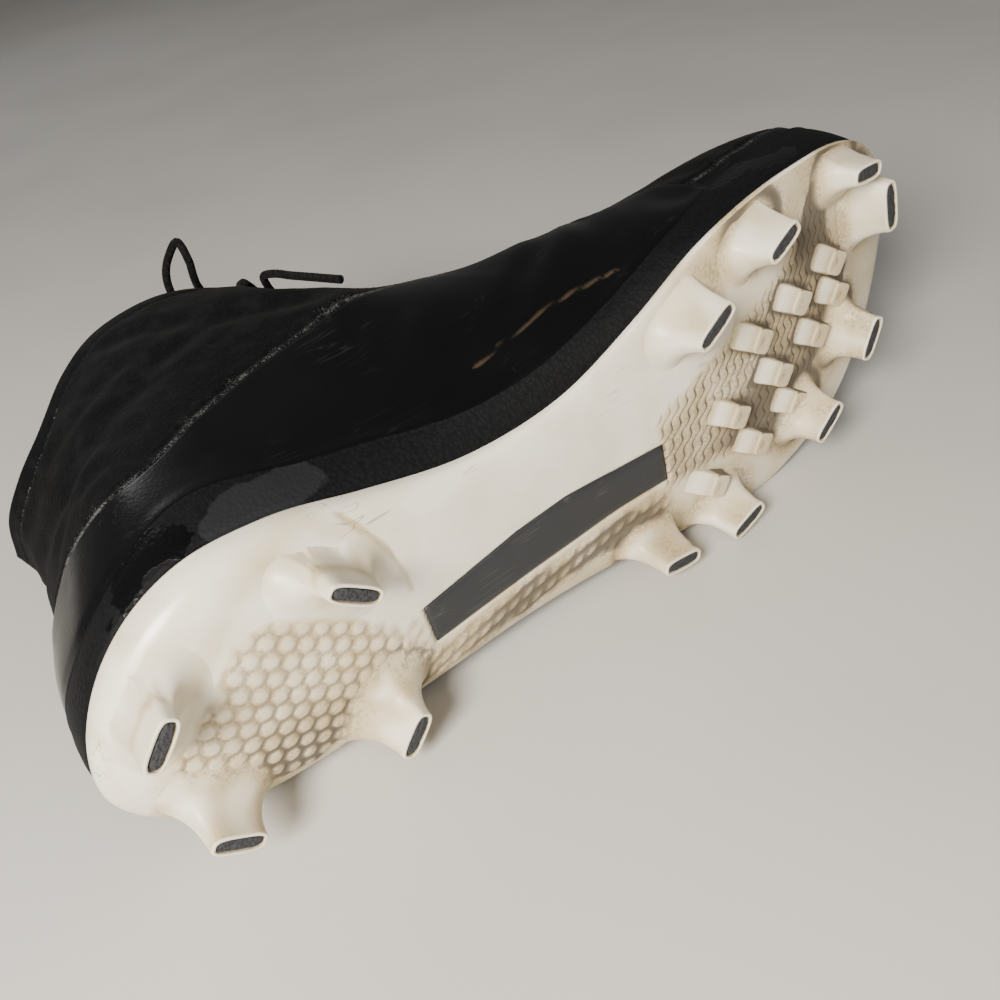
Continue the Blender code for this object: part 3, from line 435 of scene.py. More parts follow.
# Studio: name, place, size, power and tint of each soft light
STAGE_REACH = 6.0
LIGHT_AIM = (0.0, 0.0, 0.04)
LIGHTS = (
    ("key", (-0.54, -0.42, 0.48), 0.28, 14.5, (1.0, 0.955, 0.88)),
    ("fill", (0.1, -1.2, 1.0), 0.9, 3.2, (1.0, 0.98, 0.95)),
    ("rim", (-0.25, 1.25, 0.8), 0.45, 2.2, (0.97, 0.98, 1.0)),
)
WORLD_COLOUR = (0.80, 0.79, 0.77)
WORLD_STRENGTH = 0.22


def read(rows, column, at):
    """Smooth value of a table's column at places along its first column."""
    keys = np.array([row[0] for row in rows])
    values = np.array([getattr(row, column) for row in rows])
    slopes = np.gradient(values, keys)
    at = np.clip(np.asarray(at, float), keys[0], keys[-1])
    i = np.clip(np.searchsorted(keys, at) - 1, 0, len(keys) - 2)
    return hermite(at, keys[i], keys[i + 1], values[i], values[i + 1], slopes[i], slopes[i + 1])


def hermite(at, k0, k1, v0, v1, m0, m1):
    """Cubic between two keys with a given value and slope at each."""
    h = k1 - k0
    t = (at - k0) / h
    a = (1 + 2 * t) * (1 - t) ** 2
    b = t * (1 - t) ** 2
    c = t * t * (3 - 2 * t)
    d = t * t * (t - 1)
    return a * v0 + b * h * m0 + c * v1 + d * h * m1


def smooth_curve(guide, keys, at):
    """Points of a smooth line through guide points, at places along their keys."""
    slopes = np.gradient(guide, keys, axis=0)
    i = np.clip(np.searchsorted(keys, at, side="right") - 1, 0, len(keys) - 2)
    columns = [
        hermite(at, keys[i], keys[i + 1], guide[i, c], guide[i + 1, c], slopes[i, c], slopes[i + 1, c])
        for c in range(guide.shape[1])
    ]
    return np.column_stack(columns)


def distances(points):
    """Distance travelled along a line up to each of its points."""
    return np.concatenate([[0], np.cumsum(np.linalg.norm(np.diff(points, axis=0), axis=1))])


def smoothstep(value, low, high):
    t = np.clip((np.asarray(value, float) - low) / (high - low), 0, 1)
    return t * t * (3 - 2 * t)


def bell(distance, reach):
    """1 where the distance is 0, fading to nothing over about twice the reach."""
    return np.exp(-((distance / reach) ** 2))


def unit(vectors):
    return vectors / np.maximum(np.linalg.norm(vectors, axis=-1, keepdims=True), 1e-12)


class Perimeter:
    """Stations round the shoe: heel, medial side, toe, lateral side, back to the heel."""

    def __init__(self, side_points):
        self.n = side_points
        edge = self.dense_outline()
        closed = np.vstack([edge, edge[:1]])
        arc = distances(closed)
        toe = arc[np.argmax(edge[:, 0])]
        medial = np.linspace(0, toe, side_points + 1)
        lateral = np.linspace(toe, arc[-1], side_points + 1)[1:-1]
        where = np.concatenate([medial, lateral])
        self.x = np.interp(where, arc, closed[:, 0])
        self.y = np.interp(where, arc, closed[:, 1])
        self.u = np.clip(self.x / OUTSOLE_LENGTH, 0, 1)
        index = np.arange(2 * side_points)
        self.arc = np.where(index <= side_points, index, 2 * side_points - index) / side_points
        self.lateral = index > side_points
        flat = np.stack([self.x, self.y], axis=1)
        along = np.roll(flat, -1, axis=0) - np.roll(flat, 1, axis=0)
        self.out = unit(np.stack([along[:, 1], -along[:, 0], 0 * along[:, 0]], axis=1)) * -1
        if self.out[0, 0] > 0:
            self.out *= -1

    @staticmethod
    def dense_outline(steps=400):
        """The plate's top edge as a closed smooth curve in plan, heel first, medial side first."""
        medial = [(r.along * OUTSOLE_LENGTH, -r.medial * BALL_WIDTH) for r in OUTLINE]
        lateral = [(r.along * OUTSOLE_LENGTH, r.lateral * BALL_WIDTH) for r in OUTLINE[1:-1]]
        points = np.array(medial + lateral[::-1])
        count = len(points)
        wrapped = np.vstack([points[-3:], points, points[:4]])
        keys = distances(wrapped)
        return smooth_curve(wrapped, keys, np.linspace(keys[3], keys[3 + count], steps, endpoint=False))

    def side(self, rows, name, at):
        """A medial or lateral column, whichever side each station is on."""
        medial = read(rows, name + "medial", at)
        return np.where(self.lateral, read(rows, name + "lateral", at), medial)


def plate_bottom(x):
    """Height of the plate's underside on its flat middle."""
    return STUD_HEIGHT + TOE_SPRING * read(LIFT, "lift", x / OUTSOLE_LENGTH)


def spine(p):
    """The line in the middle of the sole that the rings of floor points shrink to."""
    x = OUTSOLE_LENGTH * (0.10 + 0.78 * p.u)
    middle = (read(OUTLINE, "lateral", p.u) - read(OUTLINE, "medial", p.u)) / 2
    return np.stack([x, middle * BALL_WIDTH], axis=1)


def plate_ring(p, share, inset=0.0, raise_by=0.0):
    """Ring of the plate's underside at a share of the way from its spine to its edge."""
    edge = np.stack([p.x, p.y], axis=1) - p.out[:, :2] * inset
    middle = spine(p)
    flat = middle + share * (edge - middle)
    rim = STUD_HEIGHT + RIM_RISE * p.side(SIDES, "rim_", p.u)
    base = plate_bottom(flat[:, 0])
    climb = rim - plate_bottom(edge[:, 0]) - raise_by
    rise = 1 - (1 - share**2.6) ** (1 / 2.6)
    return np.column_stack([flat, base + raise_by + climb * rise])


def band_top(p):
    """Outer edge of the midsole band's top."""
    flare = BAND_FLARE * p.side(SIDES, "flare_", p.u)
    flat = np.column_stack([p.x, p.y, 0 * p.x]) + p.out * flare[:, None]
    flat[:, 2] = STUD_HEIGHT + BAND_RISE * p.side(SIDES, "band_", p.u)
    return flat


def lip_slope(p):
    """How far the band's side moves from its top to the foot of the lip."""
    fall = plate_ring(p, 1.0) - band_top(p)
    return fall * (LIP_HEIGHT / np.linalg.norm(fall, axis=1))[:, None]


class UpperShape:
    """Walls of the upper as curves from the midsole's lip to the edge of the opening."""

    def __init__(self, p):
        self.p = p
        foot = band_top(p) - p.out * (LIP_WIDTH + FIT_GAP)
        side = np.where(p.lateral, 1.0, -1.0)
        reach = p.side(WALLS, "", p.arc) * ANKLE_WIDTH / 2
        top = np.column_stack(
            [
                read(WALLS, "along", p.arc) * OUTSOLE_LENGTH,
                side * reach,
                STUD_HEIGHT + COLLAR_RISE * read(WALLS, "rise", p.arc),
            ]
        )
        chord = np.linalg.norm(top - foot, axis=1)
        up = np.array([0.0, 0.0, 1.0])
        low = p.out * read(WALLS, "low_out", p.arc)[:, None] + up * read(WALLS, "low_up", p.arc)[:, None]
        high = (
            p.out * read(WALLS, "high_out", p.arc)[:, None]
            - up * read(WALLS, "high_down", p.arc)[:, None]
        )
        self.curve = (foot, foot + low * chord[:, None], top + high * chord[:, None], top)

    def at(self, t):
        """Points of the outer surface, one for each station."""
        t = np.broadcast_to(np.asarray(t, float), self.p.x.shape)[:, None]
        a, b, c, d = self.curve
        return (1 - t) ** 3 * a + 3 * t * (1 - t) ** 2 * b + 3 * t * t * (1 - t) * c + t**3 * d

    def normal(self, t):
        """Outward unit normals."""
        t = np.broadcast_to(np.asarray(t, float), self.p.x.shape)
        here = self.at(t)
        step = 0.01
        rise = self.at(np.minimum(t + step, 1)) - self.at(np.maximum(t - step, 0))
        round_ = np.roll(here, -1, axis=0) - np.roll(here, 1, axis=0)
        normal = unit(np.cross(rise, round_))
        return normal * np.sign((normal * self.p.out).sum(axis=1, keepdims=True).mean() or 1)

    def seam(self):
        """Share of each wall at which the overlay's upper edge runs."""
        low = np.zeros_like(self.p.x)
        high = np.ones_like(self.p.x)
        for _ in range(30):
            middle = (low + high) / 2
            point = self.at(middle)
            line = STUD_HEIGHT + COLLAR_RISE * read(SEAM, "rise", point[:, 0] / OUTSOLE_LENGTH)
            below = point[:, 2] < line
            low = np.where(below, middle, low)
            high = np.where(below, high, middle)
        return np.maximum((low + high) / 2, 0.08)

    def wall(self, t):
        """Thickness of the wall: plain below, padded towards the collar."""
        rear = 1 - smoothstep(self.p.arc, 0.40, 0.52)
        return UPPER_WALL + (COLLAR_WALL - UPPER_WALL) * rear * smoothstep(t, 0.55, 0.9)

    def inner(self, t, gap=0.0):
        """Points of the inner surface, or of one that stays a gap inside it."""
        return self.at(t) - self.normal(t) * (self.wall(t) + gap)[:, None]


def ring_faces(a, b, count):
    """Quads between two rings that start at vertex a and b."""
    return [(a + i, a + (i + 1) % count, b + (i + 1) % count, b + i) for i in range(count)]


def ladder_faces(start, count):
    """Fills a ring with rungs from each medial station to the lateral one across from it."""
    half = count // 2
    faces = [(start, start + 1, start + count - 1)]
    for i in range(1, half - 1):
        faces.append((start + i, start + i + 1, start + count - i - 1, start + count - i))
    faces.append((start + half - 1, start + half, start + half + 1))
    return faces


def ring_solid_parts(rings, closed=False):
    """Vertices and faces of a skin through the rings in turn, its ends filled or joined."""
    count = len(rings[0])
    faces = []
    for k in range(len(rings) - 1):
        faces += ring_faces(k * count, (k + 1) * count, count)
    if closed:
        faces += ring_faces((len(rings) - 1) * count, 0, count)
    else:
        faces += ladder_faces(0, count)
        faces += ladder_faces((len(rings) - 1) * count, count)
    return np.vstack(rings), faces


def place(row):
    """Where a stud or a lug stands in plan."""
    return np.array([row.along * OUTSOLE_LENGTH, row.across * BALL_WIDTH])


def oval_ring(centre, length, width, turn, z, corners, squareness):
    """A flat ring like a rounded bar and its outward directions, long axis at the turn angle."""
    angle = (np.arange(corners) + 0.5) * 2 * math.pi / corners
    c, s = np.cos(angle), np.sin(angle)
    a = np.sign(c) * np.abs(c) ** (2 / squareness) * length / 2
    b = np.sign(s) * np.abs(s) ** (2 / squareness) * width / 2
    turn = math.radians(turn)
    x = centre[0] + a * math.cos(turn) - b * math.sin(turn)
    y = centre[1] + a * math.sin(turn) + b * math.cos(turn)
    ring = np.column_stack([x, y, np.full(corners, z)])
    along = np.roll(ring, -1, axis=0) - np.roll(ring, 1, axis=0)
    return ring, unit(np.column_stack([along[:, 1], -along[:, 0]]))


def lie_down():
    """Rotation and shift from the shoe's own axes to the frame, from its twelve stud pads."""
    own, laid = [], []
    for number, row in enumerate(STUDS, 1):
        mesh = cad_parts[f"stud_tip_{number:02d}"].data
        laid.append(np.mean([vertex.co for vertex in mesh.vertices], axis=0))
        own.append((*place(row), row.lift * STUD_HEIGHT + PAD_SINK + PAD_THICKNESS / 2))
    own, laid = np.array(own), np.array(laid)
    left, _, right = np.linalg.svd((own - own.mean(axis=0)).T @ (laid - laid.mean(axis=0)))
    mirror = np.diag([1.0, 1.0, np.sign(np.linalg.det(right.T @ left.T))])
    turn = right.T @ mirror @ left.T
    return turn, laid.mean(axis=0) - turn @ own.mean(axis=0)


TURN, SHIFT = lie_down()


def to_frame(points):
    """Points of the shoe's own axes in the frame, pressed flat where they meet the floor."""
    laid = np.asarray(points) @ TURN.T + SHIFT
    laid[:, 2] = np.maximum(laid[:, 2], 0.0)
    return laid


def to_shoe(points):
    return (np.asarray(points) - SHIFT) @ TURN


def line_distance(points, line):
    """Distance of each point from the line through the given places."""
    line = np.asarray(line, float)
    best = np.full(len(points), np.inf)
    for start, end in zip(line, line[1:]):
        run = end - start
        share = np.clip((points - start) @ run / (run @ run), 0, 1)
        best = np.minimum(best, np.linalg.norm(points - start - share[:, None] * run, axis=1))
    return best


def inside_depth(points, corners):
    """Distance to the border of a closed outline in plan, positive inside it."""
    corners = np.asarray(corners, float)
    inside = np.zeros(len(points), bool)
    for (x0, y0), (x1, y1) in zip(corners, np.roll(corners, -1, axis=0)):
        spans = (y0 > points[:, 1]) != (y1 > points[:, 1])
        rise = (y1 - y0) if y1 != y0 else 1e-12
        inside ^= spans & (points[:, 0] < x0 + (points[:, 1] - y0) / rise * (x1 - x0))
    distance = line_distance(points, np.vstack([corners, corners[:1]]))
    return np.where(inside, distance, -distance)


def spots(rows):
    return [(row.along * OUTSOLE_LENGTH, row.across * BALL_WIDTH) for row in rows]


def marks(rows):
    return [(row.along * OUTSOLE_LENGTH, STUD_HEIGHT + row.rise * COLLAR_RISE) for row in rows]


def soft_noise(points, size, seed=0):
    """Smooth value between -1 and 1 that changes over about the given size."""
    rng = np.random.default_rng(seed)
    total = np.zeros(len(points))
    for _ in range(9):
        wave = rng.normal(size=points.shape[1]) * 2.2 / size
        total += np.sin(points @ wave + rng.uniform(0, 2 * math.pi))
    return np.clip(total / 3.2, -1, 1)


def new_object(name, data):
    made = bpy.data.objects.new(name, data)
    bpy.context.scene.collection.objects.link(made)
    return made


def make_piece(name, verts, faces, finishes, stands_for, slot, values=None, cloth=None, rows=None):
    """A mesh piece in the frame, with its materials, vertex values and cloth coordinates."""
    mesh = bpy.data.meshes.new(name)
    mesh.from_pydata(to_frame(verts).tolist(), [], faces)
    for finish in finishes:
        mesh.materials.append(finish)
    if rows is not None:
        mesh.polygons.foreach_set("material_index", np.asarray(rows, np.int32))
    for key, value in (values or {}).items():
        layer = mesh.attributes.new(key, "FLOAT", "POINT")
        layer.data.foreach_set("value", np.asarray(value, np.float32))
    if cloth is not None:
        loops = np.zeros(len(mesh.loops), np.int32)
        mesh.loops.foreach_get("vertex_index", loops)
        layer = mesh.uv_layers.new(name="cloth")
        layer.data.foreach_set("uv", np.asarray(cloth, np.float32)[loops].ravel())
    work = bmesh.new()
    work.from_mesh(mesh)
    bmesh.ops.recalc_face_normals(work, faces=work.faces)
    work.to_mesh(mesh)
    work.free()
    mesh.shade_smooth()
    piece = new_object(name, mesh)
    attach(piece, "root")
    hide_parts(*stands_for)
    return piece


# Materials


def add_node(tree, kind, inputs=None, **settings):
    """A node with its settings, and its inputs set to values or joined to other sockets."""
    node = tree.nodes.new("ShaderNode" + kind)
    for key, value in settings.items():
        setattr(node, key, value)
    for key, value in (inputs or {}).items():
        if isinstance(value, bpy.types.NodeSocket):
            tree.links.new(value, node.inputs[key])
        else:
            node.inputs[key].default_value = value
    return node


def maths(tree, operation, a, b=0.0, c=0.0, clamp=False):
    return add_node(tree, "Math", {0: a, 1: b, 2: c}, operation=operation, use_clamp=clamp).outputs[0]


def ramp(tree, value, low, high, to_low=0.0, to_high=1.0):
    """Smooth step of a value between two limits."""
    inputs = {"Value": value, "From Min": low, "From Max": high, "To Min": to_low, "To Max": to_high}
    return add_node(tree, "MapRange", inputs, interpolation_type="SMOOTHSTEP").outputs["Result"]


def mix_colour(tree, share, a, b):
    node = add_node(tree, "Mix", data_type="RGBA")
    for key, value in ((0, share), (6, a), (7, b)):
        if isinstance(value, bpy.types.NodeSocket):
            tree.links.new(value, node.inputs[key])
        else:
            node.inputs[key].default_value = (*value, 1.0) if key > 0 and len(value) == 3 else value
    return node.outputs[2]


def times(tree, a, b):
    return maths(tree, "MULTIPLY", a, b)


def tinted(tree, base, mask, share, colour):
    """A colour laid over the base where the mask is, at a share of its full strength."""
    return mix_colour(tree, times(tree, mask, share), base, colour)


def noise(tree, vector, scale, detail=3.0, roughness=0.55):
    inputs = {"Vector": vector, "Scale": scale, "Detail": detail, "Roughness": roughness}
    return add_node(tree, "TexNoise", inputs).outputs["Fac"]


def vertex_value(tree, name):
    return add_node(tree, "Attribute", attribute_name=name).outputs["Fac"]


def body_place(tree):
    """Place in the frame, in metres."""
    return add_node(tree, "TexCoord").outputs["Object"]


def cloth_place(tree):
    """Place along and up the piece, in metres."""
    return add_node(tree, "UVMap", uv_map="cloth").outputs["UV"]


def effect(name, inputs, outputs, build):
    """A shader node group, built once."""
    group = bpy.data.node_groups.get(name)
    if group:
        return group
    group = bpy.data.node_groups.new(name, "ShaderNodeTree")
    for label, kind, default in inputs:
        socket = group.interface.new_socket(label, in_out="INPUT", socket_type=kind)
        if default is not None:
            socket.default_value = default
    for label in outputs:
        group.interface.new_socket(label, in_out="OUTPUT", socket_type="NodeSocketFloat")
    entry = group.nodes.new("NodeGroupInput")
    leave = group.nodes.new("NodeGroupOutput")
    for label, socket in build(group, entry.outputs).items():
        group.links.new(socket, leave.inputs[label])
    return group


def use_effect(tree, group, **inputs):
    node = tree.nodes.new("ShaderNodeGroup")
    node.node_tree = group
    for key, value in inputs.items():
        if isinstance(value, bpy.types.NodeSocket):
            tree.links.new(value, node.inputs[key])
        else:
            node.inputs[key].default_value = value
    return node


FLOAT = "NodeSocketFloat"
VECTOR = "NodeSocketVector"


def dust_effect():
    """Specks and soft films of dust. Cover runs from none at 0 to a closed film at 1."""

    def build(tree, given):
        fine = noise(tree, given["Place"], given["Specks"], 4.0, 0.7)
        film = noise(tree, given["Place"], given["Clouds"], 3.0)
        level = maths(tree, "MULTIPLY_ADD", given["Cover"], -0.42, 0.955)
        shade = maths(tree, "MULTIPLY_ADD", film, 0.35, fine)
        above = maths(tree, "SUBTRACT", shade, level)
        return {"Mask": maths(tree, "MULTIPLY", above, 9.0, clamp=True), "Film": film}

    inputs = [
        ("Place", VECTOR, None), ("Cover", FLOAT, 0.2), ("Specks", FLOAT, 1500.0), ("Clouds", FLOAT, 90.0),
    ]
    return effect("Dust", inputs, ("Mask", "Film"), build)


def grain_effect():
    """Fine uneven grain with broader waves, as height and as mottling."""

    def build(tree, given):
        fine = noise(tree, given["Place"], given["Grain"], 2.0, 0.6)
        broad = noise(tree, given["Place"], given["Waves"], 2.0, 0.5)
        return {"Height": maths(tree, "MULTIPLY_ADD", broad, 1.6, fine), "Mottle": broad}

    inputs = [("Place", VECTOR, None), ("Grain", FLOAT, 1800.0), ("Waves", FLOAT, 160.0)]
    return effect("Grain", inputs, ("Height", "Mottle"), build)


def scratch_effect():
    """Thin broken scratches that run mostly one way."""

    def build(tree, given):
        turned = add_node(tree, "Mapping", {"Vector": given["Place"], "Rotation": (0.3, 0.2, 0.9)})
        tree.links.new(given["Stretch"], turned.inputs["Scale"])
        lines = noise(tree, turned.outputs["Vector"], given["Lines"], 2.0, 0.6)
        ridge = maths(tree, "ABSOLUTE", maths(tree, "SUBTRACT", lines, 0.5))
        thin = ramp(tree, ridge, 0.004, 0.016, 1.0, 0.0)
        patches = ramp(tree, noise(tree, given["Place"], given["Patches"], 2.0), 0.52, 0.66)
        return {"Mask": maths(tree, "MULTIPLY", thin, patches)}

    inputs = [
        ("Place", VECTOR, None), ("Stretch", VECTOR, (1.0, 24.0, 24.0)),
        ("Lines", FLOAT, 9.0), ("Patches", FLOAT, 45.0),
    ]
    return effect("Scratches", inputs, ("Mask",), build)


def cell_effect():
    """Small irregular cells like leather grain or knit loops, as height."""

    def build(tree, given):
        inputs = {"Vector": given["Place"], "Scale": given["Cells"]}
        return {"Height": add_node(tree, "TexVoronoi", inputs, feature="F1").outputs["Distance"]}

    inputs = [("Place", VECTOR, None), ("Cells", FLOAT, 700.0)]
    return effect("Cells", inputs, ("Height",), build)


def wave_effect():
    """Thin wavy grooves, from the count of lines and the share of a wave along them."""

    def build(tree, given):
        swing = maths(tree, "SINE", maths(tree, "MULTIPLY", given["Along"], 2 * math.pi))
        phase = maths(tree, "MULTIPLY_ADD", swing, given["Sway"], given["Base"])
        near = maths(tree, "PINGPONG", phase, 0.5)
        return {"Groove": ramp(tree, near, 0.06, 0.135, 1.0, 0.0)}

    inputs = [("Base", FLOAT, 0.0), ("Along", FLOAT, 0.0), ("Sway", FLOAT, 0.18)]
    return effect("Wavy grooves", inputs, ("Groove",), build)


def new_finish(name, roughness, coat=0.0, coat_roughness=0.1, sheen=0.0, specular=0.5):
    """A Principled material with its constants set, its tree and its shader."""
    made = bpy.data.materials.new(name)
    made.use_nodes = True
    shader = made.node_tree.nodes["Principled BSDF"]
    shader.inputs["Roughness"].default_value = roughness
    shader.inputs["Coat Weight"].default_value = coat
    shader.inputs["Coat Roughness"].default_value = coat_roughness
    shader.inputs["Sheen Weight"].default_value = sheen
    shader.inputs["Specular IOR Level"].default_value = specular
    return made, made.node_tree, shader


def set_bump(tree, shader, *layers):
    """Stacks bumps of (height socket, distance in metres, strength)."""
    normal = None
    for height, distance, strength in layers:
        inputs = {"Height": height, "Distance": distance, "Strength": strength}
        if normal is not None:
            inputs["Normal"] = normal
        normal = add_node(tree, "Bump", inputs).outputs["Normal"]
    tree.links.new(normal, shader.inputs["Normal"])


def plate_finish():
    """White moulded plastic: dirt and painted shade in the tread, soft scuffs, smooth glossy margins."""
    found = bpy.data.materials.get("white_plate")
    if found:
        return found
    colours, sizes = bpy.context.scene.cleat_colours, bpy.context.scene.cleat_sizes
    made, tree, shader = new_finish("white_plate", 0.34, coat=0.12, coat_roughness=0.18)
    here = body_place(tree)
    dirt_and_shade, margin, stain = (vertex_value(tree, key) for key in ("dirt_and_shade", "margin", "stain"))
    grain = use_effect(tree, grain_effect(), Place=here, Grain=1400.0, Waves=70.0)
    cover = maths(tree, "MULTIPLY_ADD", dirt_and_shade, 0.95, 0.02)
    dust = use_effect(tree, dust_effect(), Place=here, Cover=cover, Specks=900.0, Clouds=75.0)
    film = dust.outputs["Film"]
    lines = use_effect(tree, scratch_effect(), Place=here, Lines=9.0, Patches=40.0)
    base, along = vertex_value(tree, "wave_base"), vertex_value(tree, "wave_along")
    sway = sizes.wave_sway / sizes.wave_pitch
    waves = use_effect(tree, wave_effect(), Base=base, Along=along, Sway=sway)
    groove = times(tree, waves.outputs["Groove"], vertex_value(tree, "wave_field"))
    groove = times(tree, groove, ramp(tree, film, 0.28, 0.5, 0.45, 1.0))
    aged = ramp(tree, grain.outputs["Mottle"], 0.35, 0.7)
    base = mix_colour(tree, aged, colours.plate, colours.plate_shade)
    # The dirt mask also holds painted shade in the tread's valleys, on the lugs' steep sides and in the heel
    # studs' scoops, so these dirt colours paint that shade as well
    tint = times(tree, ramp(tree, dirt_and_shade, 0.0, 0.62), ramp(tree, film, 0.25, 0.6, 0.62, 1.0))
    base = tinted(tree, base, tint, 0.9, colours.light_dirt_and_shade)
    strong = maths(tree, "MULTIPLY", dust.outputs["Mask"], ramp(tree, dirt_and_shade, 0.15, 0.9), clamp=True)
    base = tinted(tree, base, strong, 0.5, colours.dirt_and_shade)
    base = tinted(tree, base, groove, 0.95, colours.groove)
    base = tinted(tree, base, ramp(tree, dirt_and_shade, 0.86, 1.3), 0.8, colours.dark_dirt_and_shade)
    base = tinted(tree, base, stain, 0.6, colours.stain)
    clean = ramp(tree, margin, 0.0, 1.0, 0.15, 0.5)
    base = tinted(tree, base, lines.outputs["Mask"], clean, colours.dark_dirt_and_shade)
    tree.links.new(base, shader.inputs["Base Color"])
    rough = maths(tree, "ADD", ramp(tree, margin, 0.0, 1.0, 0.42, 0.26), times(tree, strong, 0.3))
    tree.links.new(maths(tree, "ADD", rough, times(tree, dirt_and_shade, 0.12)), shader.inputs["Roughness"])
    set_bump(
        tree, shader, (grain.outputs["Height"], 0.00012, 0.25), (strong, 0.0001, 0.3),
        (times(tree, groove, -1.0), 0.0004, 0.8),
    )
    return made


def pad_finish():
    """Dark pebbled rubber with dust in its pits."""
    colours = bpy.context.scene.cleat_colours
    made, tree, shader = new_finish("pebbled_rubber", 0.8)
    here = body_place(tree)
    cells = use_effect(tree, cell_effect(), Place=here, Cells=1100.0)
    dust = use_effect(tree, dust_effect(), Place=here, Cover=0.34, Specks=2200.0, Clouds=300.0)
    pebble = ramp(tree, cells.outputs["Height"], 0.25, 0.7)
    base = mix_colour(tree, pebble, colours.pad, colours.pad_edge)
    base = tinted(tree, base, dust.outputs["Mask"], 0.55, colours.dust)
    tree.links.new(base, shader.inputs["Base Color"])
    set_bump(tree, shader, (cells.outputs["Height"], 0.0004, 0.8))
    return made


def inlay_finish():
    """Dark strip with a fine slanted weave and a light film of dust."""
    colours = bpy.context.scene.cleat_colours
    made, tree, shader = new_finish("shank_strip", 0.5, specular=0.4)
    here = body_place(tree)
    inputs = {"Vector": here, "Scale": 420.0, "Distortion": 1.5, "Detail": 1.0}
    weave = add_node(tree, "TexWave", inputs, wave_type="BANDS", bands_direction="DIAGONAL").outputs["Fac"]
    dust = use_effect(tree, dust_effect(), Place=here, Cover=0.24, Specks=1600.0, Clouds=120.0)
    lines = use_effect(tree, scratch_effect(), Place=here, Lines=14.0, Patches=80.0)
    thread = ramp(tree, weave, 0.2, 0.9, 0.0, 0.07)
    base = mix_colour(tree, thread, colours.inlay, colours.inlay_edge)
    dusty, scratched = times(tree, dust.outputs["Mask"], 0.5), times(tree, lines.outputs["Mask"], 0.35)
    base = mix_colour(tree, maths(tree, "MAXIMUM", dusty, scratched), base, colours.dust)
    tree.links.new(base, shader.inputs["Base Color"])
    set_bump(tree, shader, (weave, 0.00006, 0.2), (dust.outputs["Film"], 0.0001, 0.3))
    return made


def band_finish():
    """Matte scaly carrier, with patches of worn film that catch the light."""
    colours = bpy.context.scene.cleat_colours
    made, tree, shader = new_finish("scaled_band", 0.62, specular=0.14)
    here = body_place(tree)
    patch, film, edge = (vertex_value(tree, key) for key in ("patch", "film", "edge"))
    cells = use_effect(tree, cell_effect(), Place=here, Cells=820.0)
    cover = times(tree, edge, 0.5)
    dust = use_effect(tree, dust_effect(), Place=here, Cover=cover, Specks=1700.0, Clouds=110.0)
    uneven = maths(tree, "SUBTRACT", dust.outputs["Film"], 0.5)
    glossy = ramp(tree, maths(tree, "ADD", film, times(tree, uneven, 2.2)), 0.45, 0.52)
    scaly = ramp(tree, maths(tree, "ADD", patch, uneven), 0.35, 0.5)
    gap = ramp(tree, cells.outputs["Height"], 0.2, 0.75)
    base = mix_colour(tree, gap, colours.band, colours.band_shade)
    base = tinted(tree, base, scaly, 0.55, colours.band_scale)
    base = mix_colour(tree, glossy, base, colours.film)
    base = tinted(tree, base, dust.outputs["Mask"], 0.35, colours.dust)
    tree.links.new(base, shader.inputs["Base Color"])
    tree.links.new(maths(tree, "SUBTRACT", 0.66, times(tree, glossy, 0.34)), shader.inputs["Roughness"])
    set_bump(tree, shader, (cells.outputs["Height"], 0.00025, 0.45), (glossy, 0.0002, 0.4))
    return made


def quarter_finish():
    """Glossy black film over the quarter, creased, with a worn crack and dust at its edge."""
    colours = bpy.context.scene.cleat_colours
    made, tree, shader = new_finish("glossy_quarter", 0.24, coat=0.18, coat_roughness=0.12, specular=0.16)
    here = body_place(tree)
    seam, crack, wear = (vertex_value(tree, key) for key in ("seam", "crack", "wear"))
    grain = use_effect(tree, grain_effect(), Place=here, Grain=900.0, Waves=55.0)
    cover = times(tree, seam, 0.75)
    dust = use_effect(tree, dust_effect(), Place=here, Cover=cover, Specks=1900.0, Clouds=150.0)
    lines = use_effect(tree, scratch_effect(), Place=here, Lines=9.0, Patches=40.0)
    uneven = maths(tree, "SUBTRACT", dust.outputs["Film"], 0.5)
    torn = ramp(tree, maths(tree, "ADD", crack, times(tree, uneven, 0.6)), 0.35, 0.95)
    base = mix_colour(tree, times(tree, lines.outputs["Mask"], 0.2), colours.film, colours.scuff)
    base = tinted(tree, base, dust.outputs["Mask"], 0.5, colours.dust)
    base = tinted(tree, base, torn, 0.85, colours.crack)
    tree.links.new(base, shader.inputs["Base Color"])
    worn = times(tree, maths(tree, "MAXIMUM", wear, dust.outputs["Mask"]), 0.3)
    rough = ramp(tree, grain.outputs["Mottle"], 0.3, 0.7, 0.2, 0.34)
    rough = maths(tree, "ADD", maths(tree, "ADD", rough, times(tree, torn, 0.5)), worn)
    tree.links.new(rough, shader.inputs["Roughness"])
    tree.links.new(ramp(tree, wear, 0.0, 1.0, 0.2, 0.06), shader.inputs["Coat Weight"])
    set_bump(tree, shader, (grain.outputs["Height"], 0.0003, 0.18), (torn, 0.0004, 0.7))
    return made


